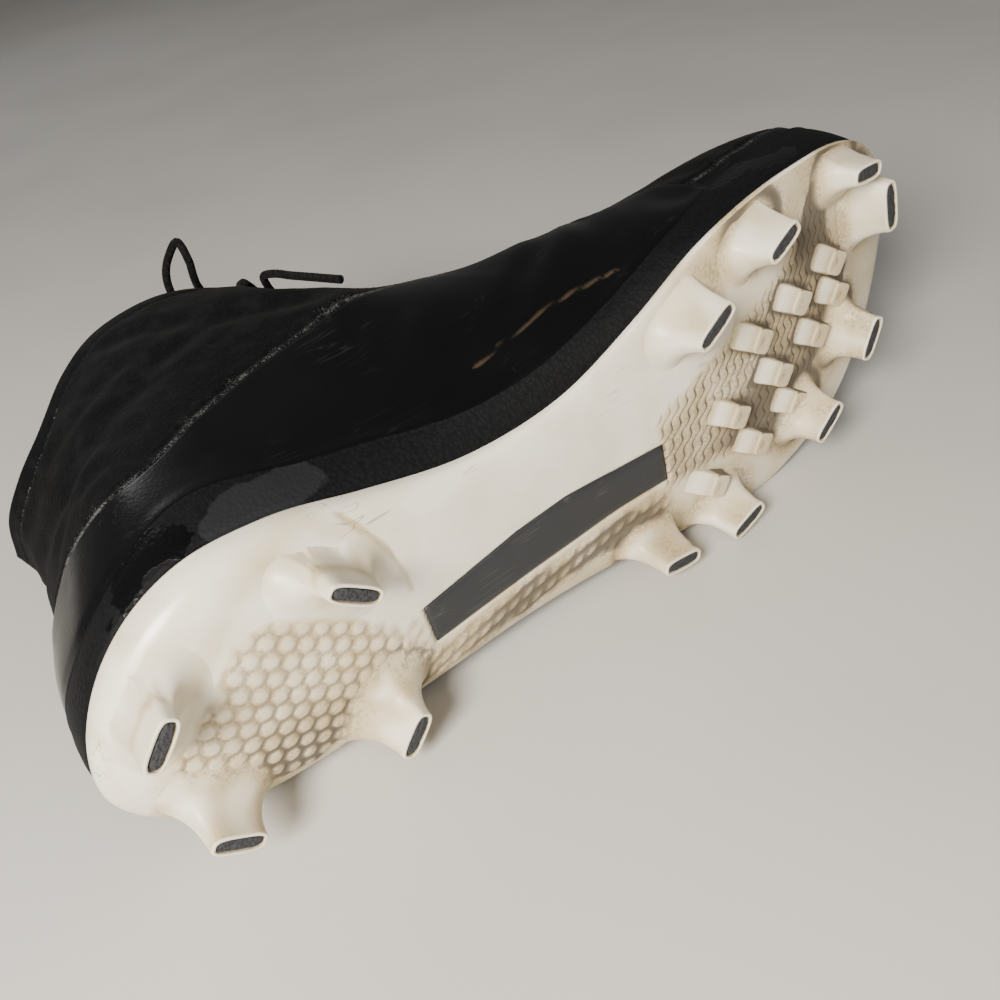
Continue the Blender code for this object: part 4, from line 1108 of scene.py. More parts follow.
def knit_finish(name, colour, shade, gloss):
    """Dark close knit with a fuzzy nap, and dust caught along the seam."""
    colours = bpy.context.scene.cleat_colours
    made, tree, shader = new_finish(name, gloss, sheen=0.01, specular=0.08)
    inputs = {"Vector": cloth_place(tree), "Rotation": (0.0, 0.0, 0.7), "Scale": (1.0, 1.5, 1.0)}
    slanted = add_node(tree, "Mapping", inputs).outputs["Vector"]
    here = body_place(tree)
    loops = use_effect(tree, cell_effect(), Place=slanted, Cells=760.0)
    grain = use_effect(tree, grain_effect(), Place=here, Grain=2400.0, Waves=130.0)
    cover = maths(tree, "MULTIPLY_ADD", vertex_value(tree, "seam"), 0.95, 0.16)
    dust = use_effect(tree, dust_effect(), Place=here, Cover=cover, Specks=1900.0, Clouds=200.0)
    gap = ramp(tree, loops.outputs["Height"], 0.1, 0.75)
    base = mix_colour(tree, gap, getattr(colours, colour), getattr(colours, shade))
    nap = ramp(tree, grain.outputs["Mottle"], 0.45, 0.75, 0.0, 0.45)
    base = mix_colour(tree, nap, base, colours.knit_worn)
    base = tinted(tree, base, dust.outputs["Mask"], 0.5, colours.dust)
    tree.links.new(base, shader.inputs["Base Color"])
    set_bump(tree, shader, (loops.outputs["Height"], 0.0003, 0.5), (grain.outputs["Height"], 0.0002, 0.35))
    return made


def lace_finish():
    """Dark round braided lace, slightly fuzzy."""
    found = bpy.data.materials.get("braided_lace")
    if found:
        return found
    colours = bpy.context.scene.cleat_colours
    made, tree, shader = new_finish("braided_lace", 0.85, sheen=0.015, specular=0.12)
    here = body_place(tree)
    braid = use_effect(tree, cell_effect(), Place=here, Cells=900.0)
    grain = use_effect(tree, grain_effect(), Place=here, Grain=2600.0, Waves=300.0)
    gap = ramp(tree, braid.outputs["Height"], 0.15, 0.7)
    base = mix_colour(tree, gap, colours.lace, colours.lace_shade)
    nap = ramp(tree, grain.outputs["Mottle"], 0.55, 0.75, 0.0, 0.3)
    base = mix_colour(tree, nap, base, colours.knit_worn)
    tree.links.new(base, shader.inputs["Base Color"])
    set_bump(tree, shader, (braid.outputs["Height"], 0.0005, 0.8))
    return made


def plain_finish(name, colour, roughness):
    """A moulded or painted surface with a fine grain."""
    made, tree, shader = new_finish(name, roughness)
    grain = use_effect(tree, grain_effect(), Place=body_place(tree), Grain=300.0, Waves=6.0)
    shade = [0.93 * part for part in colour]
    base = mix_colour(tree, ramp(tree, grain.outputs["Mottle"], 0.35, 0.7), colour, shade)
    tree.links.new(base, shader.inputs["Base Color"])
    set_bump(tree, shader, (grain.outputs["Height"], 0.0002, 0.15))
    return made


# The sole


def rope_line(x):
    """How far across the rope pattern has moved at each place along."""
    at = np.linspace(0, 1, 201)
    slope = np.interp(at, *zip(*ROPE_TURNS))
    travel = np.concatenate([[0], np.cumsum((slope[1:] + slope[:-1]) / 2 * np.diff(at))]) * OUTSOLE_LENGTH
    return np.interp(x / OUTSOLE_LENGTH, at, travel)


def stud_distance(flat):
    """Distance in plan from the line along the nearest stud's tip, and from its oval edge."""
    best = np.full(len(flat), np.inf)
    for row in STUDS:
        turn = math.radians(row.turn)
        half = (STUD_LENGTH * row.size - STUD_WIDTH) / 2 * np.array([math.cos(turn), math.sin(turn)])
        tip = place(row)
        best = np.minimum(best, line_distance(flat, [tip - half, tip + half]))
    return best


def lug_distance(flat):
    """Distance in plan from the nearest lug, with its ramp."""
    best = np.full(len(flat), np.inf)
    for row in LUGS:
        ahead, across = turned(flat - place(row), LUG_TURN).T
        beyond = np.maximum(ahead - LUG_LENGTH / 2, -LUG_RAMP - LUG_LENGTH / 2 - ahead)
        best = np.minimum(best, np.maximum(beyond, np.abs(across) - LUG_WIDTH / 2))
    return best


def turned(flat, degrees):
    """Points in plan seen in axes turned by an angle."""
    c, s = math.cos(math.radians(degrees)), math.sin(math.radians(degrees))
    return np.column_stack([flat[:, 0] * c + flat[:, 1] * s, flat[:, 1] * c - flat[:, 0] * s])


def bump_pattern(flat, sizes):
    """Round bumps in a slanted six-sided lattice: height from 0 to 1."""
    pitch = sizes.bump_pitch
    cell = turned(flat - np.array(BUMP_START), BUMP_TURN) / pitch
    row_height = math.sqrt(3) / 2
    best = np.full(len(flat), np.inf)
    for step in (0, 1):
        row = np.round((cell[:, 1] / row_height - step) / 2) * 2 + step
        across = cell[:, 0] - step / 2
        side, rise = across - np.round(across), cell[:, 1] - row * row_height
        turns = (0, math.pi / 3, -math.pi / 3)
        six = np.max([np.abs(side * math.cos(a) + rise * math.sin(a)) for a in turns], axis=0)
        round_ = np.hypot(side, rise)
        best = np.minimum(best, BUMP_SIX_SIDED * six + (1 - BUMP_SIX_SIDED) * round_)
    return 1 - smoothstep(best, 0.22, 0.50)


def rope_pattern(flat, sizes):
    """Twisted ropes side by side along the midfoot: height from 0 to 1."""
    across = (flat[:, 1] - rope_line(flat[:, 0])) / sizes.rope_pitch
    lane = np.round(across)
    ridge = 1 - np.abs(across - lane) * 2
    turns = flat[:, 0] / sizes.bump_pitch + (across - lane) * 0.55 + lane * 0.5
    twist = 0.5 + 0.5 * np.cos(2 * math.pi * turns)
    return smoothstep(ridge, 0.05, 0.85) * (0.35 + 0.65 * smoothstep(twist, 0.05, 0.8))


def wave_values(flat, sizes):
    """Count of wavy lines up to each place, share of a wave along them, and where they lie."""
    slope = np.interp(flat[:, 0] / OUTSOLE_LENGTH, *zip(*WAVE_TURNS))
    base = (flat[:, 0] + slope * flat[:, 1]) / sizes.wave_pitch
    field = smoothstep(inside_depth(flat, spots(WAVE_FIELD)), -0.001, 0.003)
    return base, flat[:, 1] / sizes.wave_length, field * smoothstep(stud_distance(flat), 0.0040, 0.0060)


def wave_pattern(flat, sizes):
    """Height from 0 in the grooves of the forefoot's wavy lines to 1 between them."""
    base, along, _ = wave_values(flat, sizes)
    phase = base + np.sin(2 * math.pi * along) * sizes.wave_sway / sizes.wave_pitch
    near = np.abs(phase - np.round(phase)) * 2
    return smoothstep(near, 0.05, 0.6)


def tread(flat, down, sizes):
    """Height added to the plate at places in plan, and the dirt and painted shade, margin and stain there."""
    from_stud = stud_distance(flat)
    clear = smoothstep(from_stud, 0.0062, 0.0095)
    edge_of = {}
    for name, field in (("bump", BUMP_FIELD), ("rope", ROPE_FIELD), ("wave", WAVE_FIELD)):
        ragged = soft_noise(flat, 0.012, seed=3) * 0.0015
        edge_of[name] = smoothstep(inside_depth(flat, spots(field)) + ragged, -0.0015, 0.0035) * clear * down
    bumps = bump_pattern(flat, sizes) * edge_of["bump"]
    ropes = rope_pattern(flat, sizes) * edge_of["rope"] * (1 - edge_of["bump"])
    waves = wave_pattern(flat, sizes) * edge_of["wave"]
    mould = bell(line_distance(flat, spots(MOULD_LINE)), 0.0009) * down
    rise = sizes.bump_height * bumps + sizes.rope_height * ropes + sizes.wave_height * waves 
    rise -= MOULD_DEPTH * mould
    covered = np.maximum.reduce([edge_of["bump"], edge_of["rope"], edge_of["wave"]])
    # Painted shade, with some dirt, in the valleys between the heel's bumps and the midfoot's ropes, and a
    # little over the wavy field
    valley = (1 - bumps) * edge_of["bump"] + (1 - ropes) * edge_of["rope"] * (1 - edge_of["bump"]) * 0.45
    valley = valley * 0.52 + edge_of["wave"] * 0.26
    # Darker round the foot of each stud's root, and round each lug's foot towards the toe
    root = bell(from_stud - 0.0085, 0.0035)
    lug_root = bell(np.maximum(lug_distance(flat), 0), 0.0013)
    along = flat[:, 0] / OUTSOLE_LENGTH
    across = flat[:, 1] / BALL_WIDTH
    lateral = smoothstep(across, -0.05, 0.30)
    toe = smoothstep(along, 0.60, 0.75)
    cloud = 0.5 + 0.5 * soft_noise(flat, 0.030, seed=7)
    dirt_and_shade = valley + root * (0.25 + 0.35 * np.maximum(lateral, toe)) + 0.35 * lug_root * toe
    dirt_and_shade += (0.24 + 0.26 * cloud) * covered
    dirt_and_shade += (0.24 + 0.28 * cloud) * np.maximum(lateral * 0.8, toe) * down + 0.4 * mould
    heel_edge = bell(line_distance(flat, spots(SMOOTH_EDGE)), 0.004)
    dirt_and_shade += 0.25 * heel_edge * down
    medial = smoothstep(-across, 0.02, 0.16) * (1 - toe)
    margin = np.clip(medial + (1 - down) * 0.6, 0, 1) * (1 - covered)
    spot = bell(line_distance(flat, spots(STAIN)), 0.0030)
    stain = spot * smoothstep(soft_noise(flat, 0.004, seed=11), -0.3, 0.6)
    return rise, np.clip(dirt_and_shade * 1.25, 0, 1.4), margin, stain


def inlay_corners(grow):
    """The strip's outline in plan, grown by a margin."""
    medial = [(row.along * OUTSOLE_LENGTH, row.medial * BALL_WIDTH - grow) for row in INLAY]
    lateral = [(row.along * OUTSOLE_LENGTH, row.lateral * BALL_WIDTH + grow) for row in INLAY]
    outline = np.array(medial + lateral[::-1])
    outline[[0, -1], 0] -= grow
    outline[[len(INLAY) - 1, len(INLAY)], 0] += grow
    return outline


def plate_skin(p):
    """The plate as a thin closed bowl, without tread."""
    shares = np.concatenate([np.linspace(0.06, 0.9, 16), np.linspace(0.92, 1.0, 8)])
    outer = [plate_ring(p, share) for share in shares]
    outer[-1][:, 2] += RIM_TRIM
    inner = [plate_ring(p, share, RIM_WIDTH, PLATE_THICKNESS) for share in shares[::-1]]
    return ring_solid_parts(outer + inner)


def plate_grid(p):
    """The plate with a close skin underneath and a plain one inside: vertices, faces, normals."""
    steps = np.linspace(0, 1, PLATE_ROWS)
    shares = 0.004 + 0.992 * (1 - (1 - steps) ** 1.45)
    outer = [plate_ring(p, share) for share in shares]
    edge = plate_ring(p, 1.0)
    for up, back in ((0.45, 0.0), (0.85, 0.0001), (1.0, 0.0004)):
        outer.append(edge + np.array([0, 0, RIM_TRIM * up]) - p.out * back)
    skin = np.array(outer)
    round_ = np.roll(skin, -1, axis=1) - np.roll(skin, 1, axis=1)
    normals = unit(np.cross(np.gradient(skin, axis=0), round_))
    normals *= -np.sign(normals[PLATE_ROWS // 2, :, 2].mean())
    shares = (1.0, 0.97, 0.9, 0.75, 0.5, 0.25, 0.05)
    inner = [plate_ring(p, share, RIM_WIDTH, PLATE_THICKNESS) for share in shares]
    verts, faces = ring_solid_parts(outer + inner)
    return verts, faces, np.vstack([normals.reshape(-1, 3), np.zeros((len(inner) * 2 * p.n, 3))])


def ground_tree(p):
    """Finds the plate's underside from below."""
    verts, faces = plate_skin(p)
    return BVHTree.FromPolygons(np.asarray(verts).tolist(), faces)


def ground_height(tree, x, y):
    """Height of the plate's underside, or none beside the plate."""
    found = tree.ray_cast(Vector((x, y, -0.05)), Vector((0, 0, 1)))[0]
    return None if found is None else found.z


def rooted_rings(tree, outline, away, low, spreads, curve, sink):
    """Rings of a moulded root that spreads from an outline down onto the plate.

    curve holds (share of the spread, share of the height) for each ring.
    """
    feet, heights = [], []
    for (x, y, _), (nx, ny), spread in zip(outline, away, spreads):
        for share in np.linspace(1.0, 0.1, 19):
            foot = (x + nx * spread * share, y + ny * spread * share)
            height = ground_height(tree, *foot)
            if height is not None:
                break
        else:
            foot, height = (x, y), float(plate_bottom(x))
        feet.append((foot[0] - x, foot[1] - y))
        heights.append(height + sink)
    feet = np.array(feet)
    heights = np.array(heights)
    for _ in range(3):
        heights = (np.roll(heights, 1) + heights * 2 + np.roll(heights, -1)) / 4
        feet = (np.roll(feet, 1, axis=0) + feet * 2 + np.roll(feet, -1, axis=0)) / 4
    rings = []
    for out, up in curve:
        flat = outline[:, :2] + feet * out
        rings.append(np.column_stack([flat, low + (heights - low) * up]))
    return rings


def blended(ring, dirt_and_shade, share, sizes):
    """Dirt and painted shade, margin and stain of a ring, with a share taken over from the plate below it."""
    own = np.column_stack([dirt_and_shade, np.zeros(len(ring)), np.zeros(len(ring))])
    ground = np.column_stack(tread(ring[:, :2], np.ones(len(ring)), sizes)[1:])
    return own + (ground - own) * share


def stud_piece(tree, row, sizes):
    """Vertices, faces and finish values of one stud: recess, rim, flank and spreading root."""
    tip = place(row)
    lift = row.lift * STUD_HEIGHT
    length = STUD_LENGTH * row.size
    floor = PAD_THICKNESS + PAD_SINK + FIT_GAP
    corners = STUD_CORNERS

    def rim(grow, z):
        wide = STUD_WIDTH + 2 * grow
        return oval_ring(tip, length + 2 * grow, wide, row.turn, lift + z, corners, STUD_SQUARENESS)

    rings, values = [], []
    bevel = sizes.stud_bevel
    for grow, z, soil_and_shade in (
        (-STUD_RIM, floor, 1.0), (-STUD_RIM, bevel, 0.9), (-STUD_RIM + bevel * 0.4, 0.0, 0.22),
        (-bevel, 0.0, 0.05), (-bevel * 0.3, bevel * 0.3, 0.1), (0.0, bevel, 0.18),
    ):
        ring = rim(grow, z)[0]
        rings.append(ring)
        values.append(blended(ring, np.full(corners, soil_and_shade), 0.0, sizes))
    outline, away = rim(0.0, 0.0)
    middle = np.array([tip[0] * 0.92 + 0.010, 0.0])
    inward = unit(middle - tip)
    lean = away @ inward
    heel = 1 - float(smoothstep(row.along, 0.30, 0.50))
    medial = float(smoothstep(-row.across, 0.05, 0.15))
    toeward = np.clip(away[:, 0], 0, 1)
    spreads = sizes.root_spread * (0.78 + 0.25 * lean * (1 - 0.5 * (1 - heel) * (1 - medial)) + 0.45 * heel)
    spreads -= sizes.root_spread * (0.45 - 0.35 * heel) * toeward
    spreads *= 1 - 0.45 * (1 - heel) * medial * np.clip(toeward * 1.4, 0, 1)
    steps = np.concatenate([np.linspace(0.03, 0.9, 30), np.linspace(0.93, 1.0, 4)])
    full = 0.10 + 0.35 * (1 - heel) * medial
    curve = [(full * t + (1 - full) * t**1.9, 1 - (1 - t) ** (1.75 - full * 0.6)) for t in steps]
    flank = rooted_rings(tree, outline, away, lift, spreads, curve, sizes.root_sink)
    angle = np.arctan2(away[:, 1], away[:, 0])
    off_axis = np.abs(np.cos(2 * (angle - math.radians(row.turn))))
    dusty = 0.46 + 0.42 * (1 - medial) + 0.15 * smoothstep(tip[0] / OUTSOLE_LENGTH, 0.5, 0.8)
    scoop = np.clip(-away[:, 1] * 1.3 - 0.3, 0, 1) * heel * medial
    hook = np.clip(away[:, 0] * 1.5 - 0.35, 0, 1) * (1 - heel)
    for t, ring in zip(steps, flank):
        fold = bell(t - 0.13, 0.045) * hook
        hollow = bell(t - 0.42, 0.20)
        inset = fold * 0.0003 + hollow * off_axis * 0.00025 + hollow * scoop * 0.0013
        ring[:, :2] -= away * inset[:, None]
        rings.append(ring)
        streak = 0.5 + 0.5 * soft_noise(ring * np.array([1, 1, 0.4]), 0.006, seed=5)
        # Dust streaks up the flank, and a dark line along the small fold on the toe side
        soil_and_shade = dusty * (0.15 + 0.75 * streak * (1 - t * 0.3)) + 1.3 * fold
        # Painted shade in the scoop of the heel studs' medial flank
        soil_and_shade += 0.5 * scoop * bell(t - 0.22, 0.05)
        values.append(blended(ring, soil_and_shade, float(smoothstep(t, 0.55, 1.0)), sizes))
    last = rings[-1].copy()
    last[:, :2] = tip + (last[:, :2] - tip) * 0.9
    last[:, 2] += HIDDEN_EDGE
    rings.append(last)
    values.append(values[-1])
    return np.vstack(rings), loft_faces(len(rings), corners), np.vstack(values)


def lug_piece(tree, row, sizes):
    """Vertices, faces and finish values of one lug: flat top, ramp and steep toe side."""
    centre = place(row)
    low = float(plate_bottom(centre[0])) - LUG_HEIGHT
    corners = LUG_CORNERS
    soft = sizes.lug_bevel

    def top(grow, z):
        long, wide = LUG_LENGTH + 2 * grow, LUG_WIDTH + 2 * grow
        return oval_ring(centre, long, wide, LUG_TURN, z, corners, LUG_SQUARENESS)

    turn = math.radians(LUG_TURN)
    ahead = np.array([math.cos(turn), math.sin(turn)])
    beside = np.array([-math.sin(turn), math.cos(turn)])
    rings, values = [], []
    outline, away = top(-0.0001, low + soft)
    steep = np.clip(np.maximum(away @ ahead, -(away @ beside) - 0.1) * 1.6, 0, 1)
    heelward = np.clip(-(away @ ahead), 0, 1)
    for inward, z, soil_and_shade in (
        (0.0034, 0.00010, 0.52), (0.0022, 0.00006, 0.50), (soft, 0.0, 0.44), (soft * 0.35, soft * 0.3, 0.4),
    ):
        ring = top(-inward - 0.0001, low + z)[0]
        stain = 0.35 * heelward * (inward > 0.002)
        # Painted shade and dirt along the top's edge on the steep toe side
        edge = steep * (inward < soft * 0.5) * 0.9
        rings.append(ring)
        values.append(blended(ring, soil_and_shade + stain + edge, 0.0, sizes))
    back = smoothstep(heelward, 0.05, 0.75)
    shift = away * sizes.lug_spread - np.outer(back * LUG_RAMP, ahead)
    steps = np.linspace(0.0, 1.0, 16)
    reach = np.linalg.norm(shift, axis=1)
    foot = rooted_rings(tree, outline, unit(shift), low + soft, reach, [(1.0, 1.0)], sizes.root_sink)[0]
    for t in steps:
        out = back * t + (1 - back) * (0.3 * t + 0.7 * t**4)
        up = back * (t**1.12) + (1 - back) * (1 - (1 - t) ** 1.3)
        rings.append(outline + (foot - outline) * np.column_stack([out, out, up]))
        worn = 0.16 + 0.42 * bell(t, 0.25)
        # Worn dirt up the ramp; painted shade and dirt down the steep toe side, which the next line keeps
        # from fading into the plate's values
        soil_and_shade = back * worn + (1 - back) * 0.4 + 1.1 * steep * (1 - back)
        fade = float(smoothstep(t, 0.6, 1.0)) * (1 - 0.9 * steep * (1 - back))
        values.append(blended(rings[-1], soil_and_shade, fade[:, None], sizes))
    last = rings[-1].copy()
    last[:, 2] += HIDDEN_EDGE
    rings.append(last)
    values.append(values[-1])
    return np.vstack(rings), loft_faces(len(rings), corners), np.vstack(values)


def loft_faces(count, corners):
    """Faces of a stack of rings with flat ends."""
    faces = []
    for k in range(count - 1):
        faces += ring_faces(k * corners, (k + 1) * corners, corners)
    faces.append(tuple(range(corners)))
    faces.append(tuple((count - 1) * corners + i for i in range(corners)))
    return faces


def gather(parts):
    """Joins lists of vertices, faces and values of several parts into one."""
    verts, faces, values = [], [], []
    start = 0
    for part_verts, part_faces, part_values in parts:
        verts.append(part_verts)
        values.append(part_values)
        faces += [tuple(index + start for index in face) for face in part_faces]
        start += len(part_verts)
    return np.vstack(verts), faces, np.concatenate(values)


def pad_parts(row):
    """A crowned oval pad with fine pebbles, closed underneath."""
    length = STUD_LENGTH * row.size - 2 * STUD_RIM - 2 * FIT_GAP
    width = STUD_WIDTH - 2 * STUD_RIM - 2 * FIT_GAP
    low = row.lift * STUD_HEIGHT + PAD_SINK

    def oval(share, z):
        sides = length * share, width * share
        return oval_ring(place(row), *sides, row.turn, z, PAD_CORNERS, PAD_SQUARENESS)[0]

    rings = [oval(1.0, low + PAD_THICKNESS)]
    for share in (1.0, 0.96, 0.88, 0.76, 0.62, 0.48, 0.34, 0.20, 0.08):
        soft = (1 - math.sqrt(1 - share**8)) * 0.0004
        ring = oval(share, low + soft)
        ring[:, 2] += 0.00012 * soft_noise(ring, 0.0011, seed=2) * (share < 1)
        rings.append(ring)
    return loft(rings)


def strip_parts():
    """The midfoot strip as a grid with rounded edges, closed underneath."""
    rows, cols = 60, 16
    at = np.linspace(INLAY[0].along, INLAY[-1].along, rows)
    low = read(INLAY, "medial", at) * BALL_WIDTH
    high = read(INLAY, "lateral", at) * BALL_WIDTH
    share = np.linspace(0, 1, cols)
    x = np.repeat(at * OUTSOLE_LENGTH, cols)
    y = (low[:, None] + (high - low)[:, None] * share).ravel()
    z = plate_bottom(x)
    beside = np.minimum(y - np.repeat(low, cols), np.repeat(high, cols) - y)
    border = np.minimum(np.minimum(x - x.min(), x.max() - x), beside)
    soft = 0.0004 * (1 - smoothstep(border, 0.0, 0.0016)) - 0.00005
    top = np.column_stack([x, y, z + soft])
    bottom = np.column_stack([x, y, z + INLAY_THICKNESS])
    return grid_solid(top.reshape(rows, cols, 3), bottom.reshape(rows, cols, 3))


def grid_solid(top, bottom):
    """Vertices and faces of a solid between two grids of points of the same shape."""
    rows, cols = top.shape[:2]
    verts = np.vstack([top.reshape(-1, 3), bottom.reshape(-1, 3)])
    under = rows * cols
    faces = []
    for r in range(rows - 1):
        for c in range(cols - 1):
            a = r * cols + c
            faces.append((a, a + 1, a + cols + 1, a + cols))
            faces.append((under + a, under + a + cols, under + a + cols + 1, under + a + 1))
    border = [(0, c) for c in range(cols)] + [(r, cols - 1) for r in range(1, rows)]
    border += [(rows - 1, c) for c in range(cols - 2, -1, -1)] + [(r, 0) for r in range(rows - 2, 0, -1)]
    loop = [r * cols + c for r, c in border]
    for a, b in zip(loop, loop[1:] + loop[:1]):
        faces.append((a, b, b + under, a + under))
    return verts, faces


# The carrier and the upper


def around(p):
    """Distance travelled round the shoe at each station."""
    step = np.hypot(np.diff(p.x, append=p.x[0]), np.diff(p.y, append=p.y[0]))
    return np.concatenate([[0], np.cumsum(step[:-1])])


def band_parts(p):
    """The carrier: a bowl in the plate whose side wall ends in a rounded lip."""
    under = PLATE_THICKNESS + FIT_GAP
    rings = [plate_ring(p, share, RIM_WIDTH + FIT_GAP, under) for share in (0.12, 0.4, 0.7, 0.88, 0.97, 1.0)]
    rings[-1][:, 2] = plate_ring(p, 1.0)[:, 2] + BAND_GAP
    rim = plate_ring(p, 1.0) - p.out * BAND_INSET
    rim[:, 2] += BAND_GAP
    top = band_top(p)
    wall = np.linspace(0, 1, 26)
    for share in wall:
        bulge = BAND_BULGE * math.sin(math.pi * share) ** 0.7
        groove = 0.00035 * bell(share - 0.10, 0.035)
        bead = 0.00030 * bell(share - 0.955, 0.03)
        rings.append(rim + (top - rim) * share + p.out * (bulge - groove + bead))
    first = len(rings) - len(wall)
    lip = top - p.out * LIP_WIDTH
    rings[-1] = rings[-1] - p.out * 0.00035
    rings.append(top - p.out * 0.0007 + np.array([0, 0, 0.00012]))
    ledge = lip + lip_slope(p) - np.array([0, 0, FIT_GAP])
    shelf = ledge - p.out * (UPPER_WALL + 2 * FIT_GAP)
    rings += [lip, ledge, shelf]
    for share in (0.95, 0.89, 0.7, 0.4, 0.12):
        rings.append(plate_ring(p, share, FLOOR_INSET, under + MIDSOLE_THICKNESS))
    verts, faces = ring_solid_parts(rings)
    shares = np.concatenate([np.zeros(first), wall, np.ones(len(rings) - first - len(wall))])
    return verts, faces, np.repeat(shares, 2 * p.n)


# Parts of the shell, in the order of its materials
FILM, KNIT, COLLAR, LINING = range(4)


def crease_depth(points, lateral, sizes):
    """How far each place of the wall is pressed in by the folds."""
    flat = points[:, [0, 2]]
    depth = np.zeros(len(points))
    for crease in CREASES:
        reach = crease.width * OVERLAY_STEP * 1.2
        away = line_distance(flat, marks(crease.marks)) / reach
        dent = np.exp(-(away**2)) - 0.2 * bell(away - 1.8, 0.7)
        depth += dent * crease.depth * sizes.fold_depth * np.where(lateral, crease.lateral, 1.0)
    return depth


def upper_parts(p, shape, sizes):
    """Rows of the hollow shell, and what its materials need at each vertex."""
    seam = shape.seam()
    fade = smoothstep(seam, 0.09, 0.16)
    tuck = lip_slope(p)
    tall = np.linalg.norm(shape.at(1.0) - shape.at(0.0), axis=1)
    cut = 0.0004 / tall
    rows = []

    def add(points, part, t):
        rows.append((points, part, np.broadcast_to(t, seam.shape)))

    add(shape.at(0.0) + tuck, FILM, 0.0)
    for share in np.concatenate([[0.0, 0.02], np.linspace(0.06, 0.97, 34), [0.985, 1.0]]):
        t = seam * share
        grown = 0.0 if share == 0 else min(1.0, 0.4 + share * 20)
        lift = OVERLAY_STEP * fade * grown * (0.75 if share == 1.0 else 1.0)
        add(shape.at(t) + shape.normal(t) * lift[:, None], FILM, t)
    above = seam + cut
    close = np.concatenate([np.linspace(0, 0.007, 12), np.linspace(0.009, 0.016, 4)])
    for reach in close:
        t = np.minimum(above + reach / tall, 0.995)
        welt = sizes.welt_height * bell(reach - 0.0012, 0.0009)
        add(shape.at(t) + shape.normal(t) * (welt * fade)[:, None], KNIT, t)
    start = np.minimum(above + close[-1] / tall, 0.995)
    for share in np.linspace(0, 1, 50)[1:]:
        t = start + (1 - start) * share
        add(shape.at(t), KNIT, t)
    top = shape.at(1.0)
    deep = shape.inner(np.ones_like(seam))
    climb = unit(shape.at(1.0) - shape.at(0.97))
    for angle in np.linspace(0, math.pi, 9)[1:-1]:
        middle = (top + deep) / 2
        crown = climb * (shape.wall(1.0) * 0.42 * math.sin(angle))[:, None]
        add(middle + (top - middle) * math.cos(angle) + crown, COLLAR, 1.0)
    for share in np.linspace(1, 0, 14):
        t = seam + (1 - seam) * share
        add(shape.inner(t), LINING, t)
    for share in (0.8, 0.6, 0.4, 0.2, 0.0):
        t = seam * share
        add(shape.inner(t), LINING, t)
    foot = rows[-1][0].copy()
    foot[:, 2] = rows[1][0][:, 2]
    rows[-1] = (foot, LINING, rows[-1][2])
    add(foot + tuck, LINING, 0.0)
    return rows, seam


def upper_mesh(p, shape, sizes):
    rows, seam = upper_parts(p, shape, sizes)
    count = 2 * p.n
    verts = np.vstack([row[0] for row in rows])
    t = np.concatenate([row[2] for row in rows])
    part = np.repeat([row[1] for row in rows], count)
    lateral = np.tile(p.lateral, len(rows))
    tall = np.tile(np.linalg.norm(shape.at(1.0) - shape.at(0.0), axis=1), len(rows))
    from_seam = (t - np.tile(seam, len(rows))) * tall
    arc = np.tile(p.arc, len(rows))
    normals = np.vstack([shape.normal(np.clip(row[2], 0, 1)) for row in rows])
    film = part == FILM
    outer = (part <= KNIT).astype(float)
    low = smoothstep(t * tall, 0.001, 0.006)
    near_top = (1 - t) * tall
    press = crease_depth(verts, lateral, sizes) * outer * low
    knit = outer * (part == KNIT)
    press += knit * 0.0004 * bell(from_seam - 0.0034, 0.0009)
    binding = bell(near_top - sizes.binding_width, 0.0009)
    press += knit * 0.0006 * binding
    swell = soft_noise(verts, 0.028, seed=21) * 0.0005 + soft_noise(verts, 0.011, seed=22) * 0.00018 * knit
    press += outer * swell * low * smoothstep(near_top, 0.0, 0.01)
    verts = verts - normals * press[:, None]
    crack = bell(line_distance(verts[:, [0, 2]], marks(CRACK)), 0.0009) * (~lateral) * film
    verts = verts - normals * (crack * 0.0003)[:, None]
    strip = np.exp(-(((from_seam - 0.0012) / 0.0011) ** 4))
    nap = 0.40 * bell(np.maximum(from_seam - 0.002, 0), 0.0045)
    dusty = np.where(film, 0.6 * np.exp(-np.abs(from_seam) / 0.0008), np.maximum(strip * 0.72, nap))
    dusty *= 0.82 + 0.25 * soft_noise(verts, 0.02, seed=31)
    dusty = dusty * outer + 0.5 * binding * knit
    wear = bell(arc - 0.9, 0.12) * film * 0.8
    wear += np.clip(press / sizes.fold_depth, 0, 1) * 0.25 * film
    values = {"seam": np.clip(dusty, 0, 1), "crack": crack, "wear": np.clip(wear, 0, 1)}
    cloth = np.column_stack([np.tile(around(p), len(rows)), t * tall])
    faces, kinds = [], []
    for k in range(len(rows)):
        after = (k + 1) % len(rows)
        faces += ring_faces(k * count, after * count, count)
        kinds += [rows[k][1]] * count
    return verts, faces, kinds, values, cloth


# Laces and the padded pieces


def throat(shape):
    """Unit vector square to the line of the throat, pointing out of the shoe."""
    line = shape.at(1.0)
    run = line[round(0.50 * SIDE_POINTS)] - line[round(0.90 * SIDE_POINTS)]
    return unit(np.array([run[2], 0.0, -run[0]]))


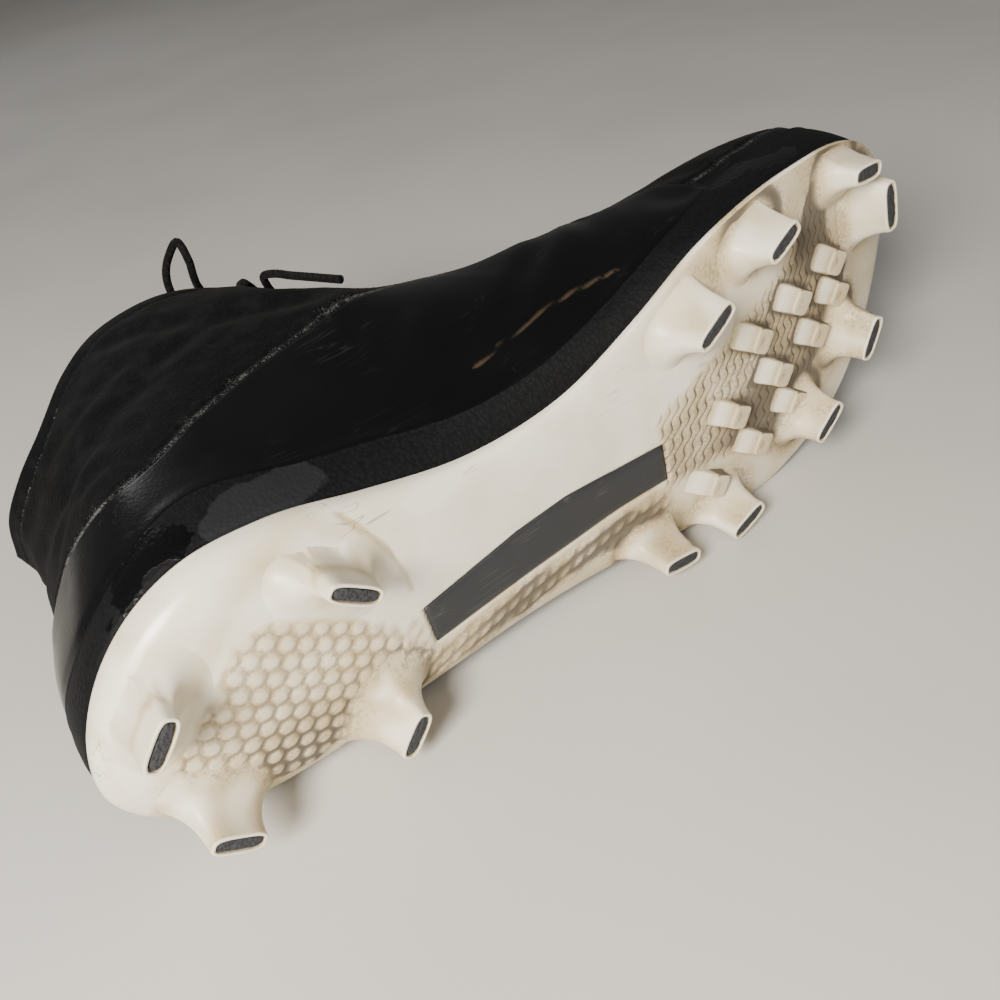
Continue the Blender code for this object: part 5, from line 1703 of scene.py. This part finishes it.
def lace_runs(shape):
    """Paths of the bars over the tongue: one straight bar, then crossings up to the top bar."""
    lift = LACE_DIAMETER / 2 + LACE_CLEARANCE
    seat = shape.at(EYELET_HEIGHT) + shape.normal(EYELET_HEIGHT) * lift
    edge = shape.at(1.0) + throat(shape) * lift
    medial = [round(arc * SIDE_POINTS) for arc in EYELET_ARCS]
    lateral = [2 * SIDE_POINTS - station for station in medial]

    def bar(a, b, c, d):
        """From eyelet a to eyelet b; c and d are the eyelets beside them on the same sides."""
        near = edge[a] * 0.85 + edge[c] * 0.15
        far = edge[b] * 0.85 + edge[d] * 0.15
        middle = (edge[a] + edge[b] + edge[c] + edge[d]) / 4
        middle += throat(shape) * LACE_CROWN * np.linalg.norm(edge[a] - edge[b])
        return np.array([seat[a], near, middle, far, seat[b]])

    runs = [bar(medial[0], lateral[0], medial[0], lateral[0])]
    for k in range(len(medial) - 1):
        runs.append(bar(medial[k], lateral[k + 1], medial[k + 1], lateral[k]))
        runs.append(bar(lateral[k], medial[k + 1], lateral[k + 1], medial[k]))
    runs.append(bar(medial[-1], lateral[-1], medial[-1], lateral[-1]))
    return runs


def knot_middle(shape):
    """The knot sits on the middle of the top bar."""
    top = lace_runs(shape)[-1][2]
    return top + throat(shape) * (LACE_DIAMETER / 2 + FIT_GAP * 2 + KNOT_SIZE * 0.35)


def knot_port(shape, across, along):
    """Where a lace leaves the knot: a gap off its surface, in a direction along the throat."""
    out = throat(shape)
    side = np.array([0.0, 1.0, 0.0])
    length = math.hypot(across, along)
    reach = length / math.hypot(across, along / KNOT_FLATNESS) * KNOT_SIZE / 2 + KNOT_GAP
    return knot_middle(shape) + (side * across + np.cross(out, side) * along) / length * reach


def cord_path(rows, first, last=None):
    """Evenly spaced points of a smooth line from the knot through the guide points."""
    scale = np.array([OUTSOLE_LENGTH, ANKLE_WIDTH / 2, COLLAR_RISE])
    guide = np.array([0, 0, STUD_HEIGHT]) + np.array(rows) * scale
    guide = np.vstack([first, guide] + ([] if last is None else [last]))
    return smooth_line(guide, LACE_DIAMETER * 2.3, 6)


def lace_curve(name, points, stands_for, radius):
    """A lace as one open smooth line with a round section."""
    curve = bpy.data.curves.new(name, "CURVE")
    curve.dimensions = "3D"
    curve.bevel_depth = radius
    curve.bevel_resolution = 4
    curve.use_fill_caps = True
    spline = curve.splines.new("POLY")
    spline.points.add(len(points) - 1)
    for point, place_ in zip(spline.points, to_frame(points)):
        point.co = (*place_, 1.0)
    curve.materials.append(lace_finish())
    piece = new_object(name, curve)
    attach(piece, "root")
    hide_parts(stands_for)
    return piece


def smooth_line(points, spacing, fewest=8):
    """A smooth line through points, as evenly spaced points that keep the first and last."""
    points = np.asarray(points, float)
    keys = distances(points)
    return smooth_curve(points, keys, np.linspace(0, keys[-1], max(fewest, round(keys[-1] / spacing))))


def tube_rings(points, radii, corners, flat=1.0, out=None):
    """Rings round a line. A flat below 1 squeezes them towards the out direction's plane."""
    run = unit(np.gradient(points, axis=0))
    guide = np.array([0.37, 0.21, 0.9]) if out is None else out
    side = unit(np.cross(run, guide))
    rise = np.cross(side, run)
    angle = np.arange(corners) * 2 * math.pi / corners
    return [
        here + (np.outer(np.cos(angle), a) + np.outer(np.sin(angle), b) * flat) * radius
        for here, a, b, radius in zip(points, side, rise, radii)
    ]


def loft(rings):
    """Vertices and faces of a skin through rings of equal counts with flat ends."""
    count = len(rings[0])
    return np.vstack(rings), loft_faces(len(rings), count), np.zeros(len(rings) * count)


def eyelet_parts(middle, normal, radius, thickness):
    """A small rounded ring that lies on the wall."""
    side = unit(np.cross(normal, np.array([0.2, 0.9, 0.1])))
    rise = np.cross(normal, side)
    turns, corners = 28, 10
    verts, faces = [], []
    for k in range(turns):
        around_ = 2 * math.pi * k / turns
        spoke = side * math.cos(around_) + rise * math.sin(around_)
        for c in range(corners):
            angle = 2 * math.pi * c / corners
            outward = spoke * (radius + thickness * math.cos(angle))
            verts.append(middle + outward + normal * thickness * 0.6 * math.sin(angle))
    for k in range(turns):
        faces += ring_faces(k * corners, (k + 1) % turns * corners, corners)
    return np.array(verts), faces, np.zeros(len(verts))


def crossing_parts(shape):
    """The bars and crossings, each ending over an eyelet at both ends."""
    parts = []
    for run in lace_runs(shape):
        line = smooth_line(run, CROSSING_SPACING)
        radii = np.full(len(line), LACE_DIAMETER / 2)
        rings = tube_rings(line, radii, CROSSING_CORNERS, CROSSING_FLATNESS, throat(shape))
        parts.append(loft(rings))
    return parts


def eyelet_row_parts(shape, sizes):
    seats = shape.at(EYELET_HEIGHT)
    normals = shape.normal(EYELET_HEIGHT)
    parts = []
    for arc in EYELET_ARCS:
        medial = round(arc * SIDE_POINTS)
        for station in (medial, 2 * SIDE_POINTS - medial):
            middle = seats[station] + normals[station] * 0.0002
            parts.append(eyelet_parts(middle, normals[station], sizes.eyelet_radius, sizes.eyelet_edge))
    return parts


def knot_parts(shape):
    """The knot: a wrap over a rounded core, with two soft bights."""
    out = throat(shape)
    side = np.array([0.0, 1.0, 0.0])
    run = np.cross(out, side)
    middle = knot_middle(shape)
    parts = []
    for tilt, spin in ((0.35, 0.0), (-0.35, 0.9), (0.0, 1.6)):
        angle = np.linspace(0, 2 * math.pi, 41)[:-1]
        across = side * math.cos(spin) + run * math.sin(spin)
        along = unit(run * math.cos(spin) - side * math.sin(spin) + out * tilt)
        radius = KNOT_SIZE / 2 - LACE_DIAMETER * 0.52
        line = middle + np.outer(np.cos(angle), across) * radius
        line = line + np.outer(np.sin(angle), along) * radius * KNOT_FLATNESS
        line = line + out * (0.35 * LACE_DIAMETER * np.sin(2 * angle + spin))[:, None]
        line = np.vstack([line[-1:], line, line[:1]])
        rings = tube_rings(line, np.full(len(line), LACE_DIAMETER / 2), KNOT_CORNERS)[1:-1]
        verts, faces = ring_solid_parts(rings, closed=True)
        parts.append((verts, faces, np.zeros(len(verts))))
    angle = np.arange(20) * math.pi / 10
    rings = []
    for latitude in np.radians(np.linspace(-80, 80, 11)):
        flat = math.cos(latitude) * KNOT_SIZE * 0.40
        circle = np.outer(np.cos(angle), side) * flat + np.outer(np.sin(angle), run) * flat * KNOT_FLATNESS
        rings.append(middle + circle + out * math.sin(latitude) * KNOT_SIZE * 0.26)
    parts.append(loft(rings))
    return parts


def padded_copy(name, node, levels, puff):
    """A node's own mesh, welded, subdivided and slightly puffed, as plain vertices and faces."""
    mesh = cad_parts[node].data.copy()
    work = bmesh.new()
    work.from_mesh(mesh)
    bmesh.ops.remove_doubles(work, verts=work.verts, dist=1e-5)
    bmesh.ops.join_triangles(work, faces=work.faces, angle_face_threshold=0.9, angle_shape_threshold=1.2)
    work.to_mesh(mesh)
    work.free()
    holder = new_object(name, mesh)
    holder.modifiers.new("soft", "SUBSURF").levels = levels
    bpy.context.view_layer.update()
    graph = bpy.context.evaluated_depsgraph_get()
    result = bpy.data.meshes.new_from_object(holder.evaluated_get(graph))
    points = np.array([vertex.co for vertex in result.vertices])
    normals = np.array([vertex.normal for vertex in result.vertices])
    faces = [tuple(polygon.vertices) for polygon in result.polygons]
    points = points + normals * (puff * (0.5 + 0.5 * soft_noise(points, 0.012, seed=41)))[:, None]
    bpy.data.objects.remove(holder)
    bpy.data.meshes.remove(result)
    return to_shoe(points), faces


# Sizes and colours that a user would change


def length_property(name, description, default, top):
    return FloatProperty(name=name, description=description, default=default, min=0.0, max=top, unit="LENGTH")


def colour_property(name, description, default):
    return FloatVectorProperty(
        name=name, description=description, default=default, subtype="COLOR", size=3, min=0.0, max=1.0
    )


class CleatSizes(bpy.types.PropertyGroup):
    """Fine sizes of the look."""

    bump_pitch: length_property("Bump pitch", "Distance between the heel's round bumps", 0.0055, 0.02)
    bump_height: length_property("Bump height", "Height of the heel's round bumps", 0.0006, 0.003)
    rope_pitch: length_property("Rope pitch", "Distance between the ropes of the midfoot", 0.0047, 0.02)
    rope_height: length_property("Rope height", "Height of the ropes of the midfoot", 0.0005, 0.003)
    wave_pitch: length_property("Wave pitch", "Distance between the forefoot's wavy lines", 0.0034, 0.02)
    wave_length: length_property("Wave length", "Length of one wave of those lines", 0.0062, 0.02)
    wave_sway: length_property("Wave sway", "How far a wave swings to each side", 0.0008, 0.005)
    wave_height: length_property("Wave height", "Height of the ridges between the wavy lines", 0.0002, 0.003)
    stud_bevel: length_property("Stud bevel", "Rounding of a stud's rim", 0.0003, 0.002)
    root_spread: length_property("Root spread", "How far a stud's root spreads over the plate", 0.0105, 0.02)
    root_sink: length_property("Root sink", "How deep a root's edge sinks into the plate", 0.00025, 0.002)
    lug_bevel: length_property("Lug bevel", "Rounding of a lug's top edge", 0.0005, 0.003)
    lug_spread: length_property("Lug spread", "How far a lug's root spreads", 0.0009, 0.01)
    fold_depth: length_property("Fold depth", "Depth of a fold of the upper", 0.00065, 0.005)
    welt_height: length_property("Welt height", "Height of the welt along the quarter's edge", 0.0005, 0.003)
    binding_width: length_property("Binding width", "Height of the collar's stitched binding", 0.0075, 0.02)
    eyelet_radius: length_property("Eyelet radius", "Radius of an eyelet's ring", 0.0024, 0.01)
    eyelet_edge: length_property("Eyelet edge", "Half thickness of an eyelet's ring", 0.0005, 0.003)


class CleatColours(bpy.types.PropertyGroup):
    """Colours of the finishes."""

    plate: colour_property("Plate", "White moulded plastic", (0.87, 0.82, 0.69))
    plate_shade: colour_property("Plate shade", "Aged patches of the white plastic", (0.79, 0.72, 0.57))
    # These three are laid through the dirt mask, which also holds painted shade in the tread's valleys, on
    # the lugs' steep sides and in the heel studs' scoops
    light_dirt_and_shade: colour_property("Light dirt", "Thin film of dirt", (0.55, 0.43, 0.235))
    dirt_and_shade: colour_property("Dirt", "Packed dirt in the tread", (0.25, 0.18, 0.10))
    dark_dirt_and_shade: colour_property("Dark dirt", "Black grime in grooves", (0.055, 0.045, 0.035))
    groove: colour_property("Groove", "Grime in the thin wavy grooves", (0.13, 0.10, 0.065))
    stain: colour_property("Stain", "Rusty stain by a stud", (0.33, 0.13, 0.06))
    pad: colour_property("Stud pad", "Dark rubber of the stud tips", (0.018, 0.019, 0.022))
    pad_edge: colour_property("Stud pad edge", "Raised pebbles of the pads", (0.032, 0.033, 0.037))
    inlay: colour_property("Strip", "Dark strip of the midfoot", (0.022, 0.023, 0.026))
    inlay_edge: colour_property("Strip weave", "Light threads of the strip", (0.05, 0.052, 0.056))
    band: colour_property("Band", "Matte carrier", (0.0048, 0.0050, 0.0056))
    band_shade: colour_property("Band shade", "Edges of the carrier's scales", (0.003, 0.003, 0.0036))
    band_scale: colour_property("Band scales", "Worn light scales", (0.022, 0.023, 0.025))
    film: colour_property("Film", "Glossy black film", (0.0022, 0.0022, 0.0026))
    scuff: colour_property("Scuff", "Scuffed film", (0.035, 0.034, 0.034))
    crack: colour_property("Crack", "Bared fibres of the worn crack", (0.05, 0.033, 0.017))
    knit: colour_property("Knit", "Dark knit", (0.0030, 0.0030, 0.0035))
    knit_shade: colour_property("Knit shade", "Gaps of the knit", (0.0015, 0.0015, 0.0018))
    knit_worn: colour_property("Worn knit", "Nap of the knit", (0.009, 0.009, 0.010))
    lining: colour_property("Lining", "Lining of the shoe", (0.012, 0.012, 0.013))
    lining_shade: colour_property("Lining shade", "Gaps of the lining", (0.004, 0.004, 0.005))
    lace: colour_property("Lace", "Braided lace", (0.008, 0.008, 0.009))
    lace_shade: colour_property("Lace shade", "Gaps of the braid", (0.003, 0.003, 0.003))
    dust: colour_property("Dust", "Pale dust", (0.155, 0.155, 0.152))
    floor: colour_property("Floor", "Pale floor", (0.60, 0.58, 0.545))


# Operators


class CLEAT_OT_stage(bpy.types.Operator):
    """Camera, floor and soft studio light"""

    bl_idname = "cleat.stage"
    bl_label = "Stage"

    def execute(self, context):
        scene = context.scene
        mesh = bpy.data.meshes.new("floor")
        corners = [(x * STAGE_REACH, y * STAGE_REACH, 0) for x, y in ((-1, -1), (1, -1), (1, 1), (-1, 1))]
        mesh.from_pydata(corners, [], [(0, 1, 2, 3)])
        mesh.materials.append(plain_finish("floor_paint", scene.cleat_colours.floor, 0.55))
        new_object("floor", mesh)
        camera = bpy.data.cameras.new("photo")
        camera.lens = CAMERA_LENS
        camera.sensor_width = CAMERA_SENSOR
        camera.clip_start = 0.01
        viewer = new_object("photo", camera)
        down = np.array(CAMERA_DOWN)
        axes = np.array([CAMERA_RIGHT, -down, -np.array(CAMERA_FORWARD)]) @ TURN.T
        where = TURN @ np.array(CAMERA_PLACE) + SHIFT
        viewer.matrix_world = Matrix([(*axes[:, k], where[k]) for k in range(3)] + [(0, 0, 0, 1)])
        scene.camera = viewer
        for name, place_, size, power, tint in LIGHTS:
            light = bpy.data.lights.new(name, "AREA")
            light.shape = "DISK"
            light.size = size
            light.energy = power
            light.color = tint
            lamp = new_object(name, light)
            lamp.location = place_
            aim = Vector(LIGHT_AIM) - Vector(place_)
            lamp.rotation_euler = aim.to_track_quat("-Z", "Y").to_euler()
        world = bpy.data.worlds.new("studio")
        world.use_nodes = True
        back = world.node_tree.nodes["Background"]
        back.inputs["Color"].default_value = (*WORLD_COLOUR, 1.0)
        back.inputs["Strength"].default_value = WORLD_STRENGTH
        scene.world = world
        return {"FINISHED"}


class CLEAT_OT_bow(bpy.types.Operator):
    """Loops and ends of the lace, hanging from the knot"""

    bl_idname = "cleat.bow"
    bl_label = "Bow"

    def execute(self, context):
        shape = UpperShape(Perimeter(SIDE_POINTS))
        sides = (("medial", -1, LOOP_MEDIAL, END_MEDIAL), ("lateral", 1, LOOP_LATERAL, END_LATERAL))
        for name, side, loop, end in sides:
            out = knot_port(shape, side, 1.0)
            back = knot_port(shape, side, 0.0)
            free = knot_port(shape, side, -1.0)
            routes = (("loop", cord_path(loop, out, back), "object"), ("end", cord_path(end, free), "bare"))
            for kind, route, far in routes:
                line = smooth_line(route, CORD_SPACING)
                node = f"lace_{kind}_{name}"
                piece = lace_curve("cord_" + node, line, node, LACE_DIAMETER / 2)
                start = to_frame(line)[0]
        return {"FINISHED"}


class CLEAT_OT_laces(bpy.types.Operator):
    """Knot, crossings and eyelets"""

    bl_idname = "cleat.laces"
    bl_label = "Laces"

    def execute(self, context):
        shape = UpperShape(Perimeter(SIDE_POINTS))
        verts, faces, _ = gather(crossing_parts(shape))
        make_piece("lace_crossings", verts, faces, [lace_finish()], ["laces"], "lace")
        verts, faces, _ = gather(knot_parts(shape))
        make_piece("bow_knot", verts, faces, [lace_finish()], ["lace_knot"], "lace")
        verts, faces, _ = gather(eyelet_row_parts(shape, context.scene.cleat_sizes))
        paint = plain_finish("eyelet_paint", EYELET_COLOUR, 0.45)
        make_piece("eyelets", verts, faces, [paint], [], "upper")
        return {"FINISHED"}


class CLEAT_OT_plate(bpy.types.Operator):
    """White plate with its tread"""

    bl_idname = "cleat.plate"
    bl_label = "Plate"

    def execute(self, context):
        sizes = context.scene.cleat_sizes
        points, faces, normals = plate_grid(Perimeter(PLATE_POINTS))
        down = smoothstep(-normals[:, 2], 0.35, 0.75)
        rise, dirt_and_shade, margin, stain = tread(points[:, :2], down, sizes)
        strip = inside_depth(points[:, :2], inlay_corners(FIT_GAP * 1.5))
        sunk = smoothstep(strip, -0.0004, 0.0004) * down
        points = points + normals * (rise * (1 - sunk) - STRIP_DEPTH * sunk)[:, None]
        dirt_and_shade = dirt_and_shade * (1 - sunk) + 1.1 * sunk
        base, along, field = wave_values(points[:, :2], sizes)
        values = {
            "dirt_and_shade": dirt_and_shade, "margin": margin, "stain": stain,
            "wave_base": base, "wave_along": along, "wave_field": field * down,
        }
        make_piece("plate", points, faces, [plate_finish()], ["outsole"], "outsole", values)
        return {"FINISHED"}


class CLEAT_OT_studs(bpy.types.Operator):
    """Stud blades, their pads and the ramped lugs"""

    bl_idname = "cleat.studs"
    bl_label = "Studs and lugs"

    def execute(self, context):
        sizes = context.scene.cleat_sizes
        tree = ground_tree(Perimeter(SOLE_POINTS))
        for name, parts in (
            ("studs", [stud_piece(tree, row, sizes) for row in STUDS]),
            ("lugs", [lug_piece(tree, row, sizes) for row in LUGS]),
        ):
            verts, faces, found = gather(parts)
            values = dict(zip(("dirt_and_shade", "margin", "stain"), found.T))
            make_piece(name, verts, faces, [plate_finish()], ["outsole"], "outsole", values)
        verts, faces, _ = gather([pad_parts(row) for row in STUDS])
        nodes = [f"stud_tip_{number:02d}" for number in range(1, len(STUDS) + 1)]
        make_piece("stud_pads", verts, faces, [pad_finish()], nodes, "stud_tip")
        return {"FINISHED"}


class CLEAT_OT_strip(bpy.types.Operator):
    """Dark strip of the midfoot"""

    bl_idname = "cleat.strip"
    bl_label = "Midfoot strip"

    def execute(self, context):
        make_piece("midfoot_strip", *strip_parts(), [inlay_finish()], ["shank_inlay"], "shank_inlay")
        return {"FINISHED"}


class CLEAT_OT_band(bpy.types.Operator):
    """Grey carrier between plate and upper"""

    bl_idname = "cleat.band"
    bl_label = "Carrier band"

    def execute(self, context):
        p = Perimeter(SOLE_POINTS)
        verts, faces, share = band_parts(p)
        flat = verts[:, [0, 2]]
        patch = bell(line_distance(flat, marks(BAND_PATCH)), 0.0060)
        film = np.maximum(
            bell(line_distance(flat, marks(BAND_FILM_REAR)), 0.007),
            bell(line_distance(flat, marks(BAND_FILM_TOE)), 0.008),
        )
        edge = bell(share - 0.97, 0.03) + 0.6 * bell(share - 0.06, 0.05)
        values = {"patch": patch, "film": film, "edge": edge}
        make_piece("carrier_band", verts, faces, [band_finish()], ["midsole"], "midsole", values)
        return {"FINISHED"}


class CLEAT_OT_upper(bpy.types.Operator):
    """Hollow upper with glossy quarter, knit ankle, bound collar and lining"""

    bl_idname = "cleat.upper"
    bl_label = "Upper"

    def execute(self, context):
        p = Perimeter(WALL_POINTS)
        verts, faces, kinds, values, cloth = upper_mesh(p, UpperShape(p), context.scene.cleat_sizes)
        finishes = [
            quarter_finish(),
            knit_finish("ankle_knit", "knit", "knit_shade", 0.72),
            knit_finish("collar_binding", "knit", "knit_shade", 0.8),
            knit_finish("mesh_lining", "lining", "lining_shade", 0.85),
        ]
        make_piece("shell", verts, faces, finishes, ["upper"], "upper", values, cloth, kinds)
        return {"FINISHED"}


class CLEAT_OT_padding(bpy.types.Operator):
    """Padded tongue and insole"""

    bl_idname = "cleat.padding"
    bl_label = "Tongue and insole"

    def execute(self, context):
        for name, node, fill, puff in (
            ("soft_tongue", "tongue", 0.7, 0.0004), ("soft_insole", "insole", 0.9, 0.0001),
        ):
            verts, faces = padded_copy(name, node, 2, puff)
            finish = knit_finish(name + "_cloth", "lining", "lining_shade", 0.85)
            values = {"seam": np.zeros(len(verts))}
            cloth = verts[:, :2]
            piece = make_piece(name, verts, faces, [finish], [node], node, values, cloth)
        return {"FINISHED"}


class CLEAT_PT_panel(bpy.types.Panel):
    """Lists the pieces of the cleat"""

    bl_label = "Baseball cleat"
    bl_space_type = "VIEW_3D"
    bl_region_type = "UI"
    bl_category = "Cleat"

    def draw(self, context):
        layout = self.layout
        for operator in OPERATORS:
            layout.operator(operator.bl_idname)
        for group in (context.scene.cleat_sizes, context.scene.cleat_colours):
            box = layout.box()
            for key in group.__annotations__:
                box.prop(group, key)


OPERATORS = (
    CLEAT_OT_stage, CLEAT_OT_bow, CLEAT_OT_laces, CLEAT_OT_plate, CLEAT_OT_studs,
    CLEAT_OT_strip, CLEAT_OT_band, CLEAT_OT_upper, CLEAT_OT_padding,
)
CLASSES = (CleatSizes, CleatColours, *OPERATORS, CLEAT_PT_panel)


def register():
    for kind in CLASSES:
        bpy.utils.register_class(kind)
    bpy.types.Scene.cleat_sizes = PointerProperty(type=CleatSizes)
    bpy.types.Scene.cleat_colours = PointerProperty(type=CleatColours)


def unregister():
    del bpy.types.Scene.cleat_sizes
    del bpy.types.Scene.cleat_colours
    for kind in reversed(CLASSES):
        bpy.utils.unregister_class(kind)


def main():
    register()
    bpy.ops.cleat.stage()
    bpy.ops.cleat.bow()
    bpy.ops.cleat.laces()
    bpy.ops.cleat.plate()
    bpy.ops.cleat.studs()
    bpy.ops.cleat.strip()
    bpy.ops.cleat.band()
    bpy.ops.cleat.upper()
    bpy.ops.cleat.padding()


if __name__ == "__main__":
    main()
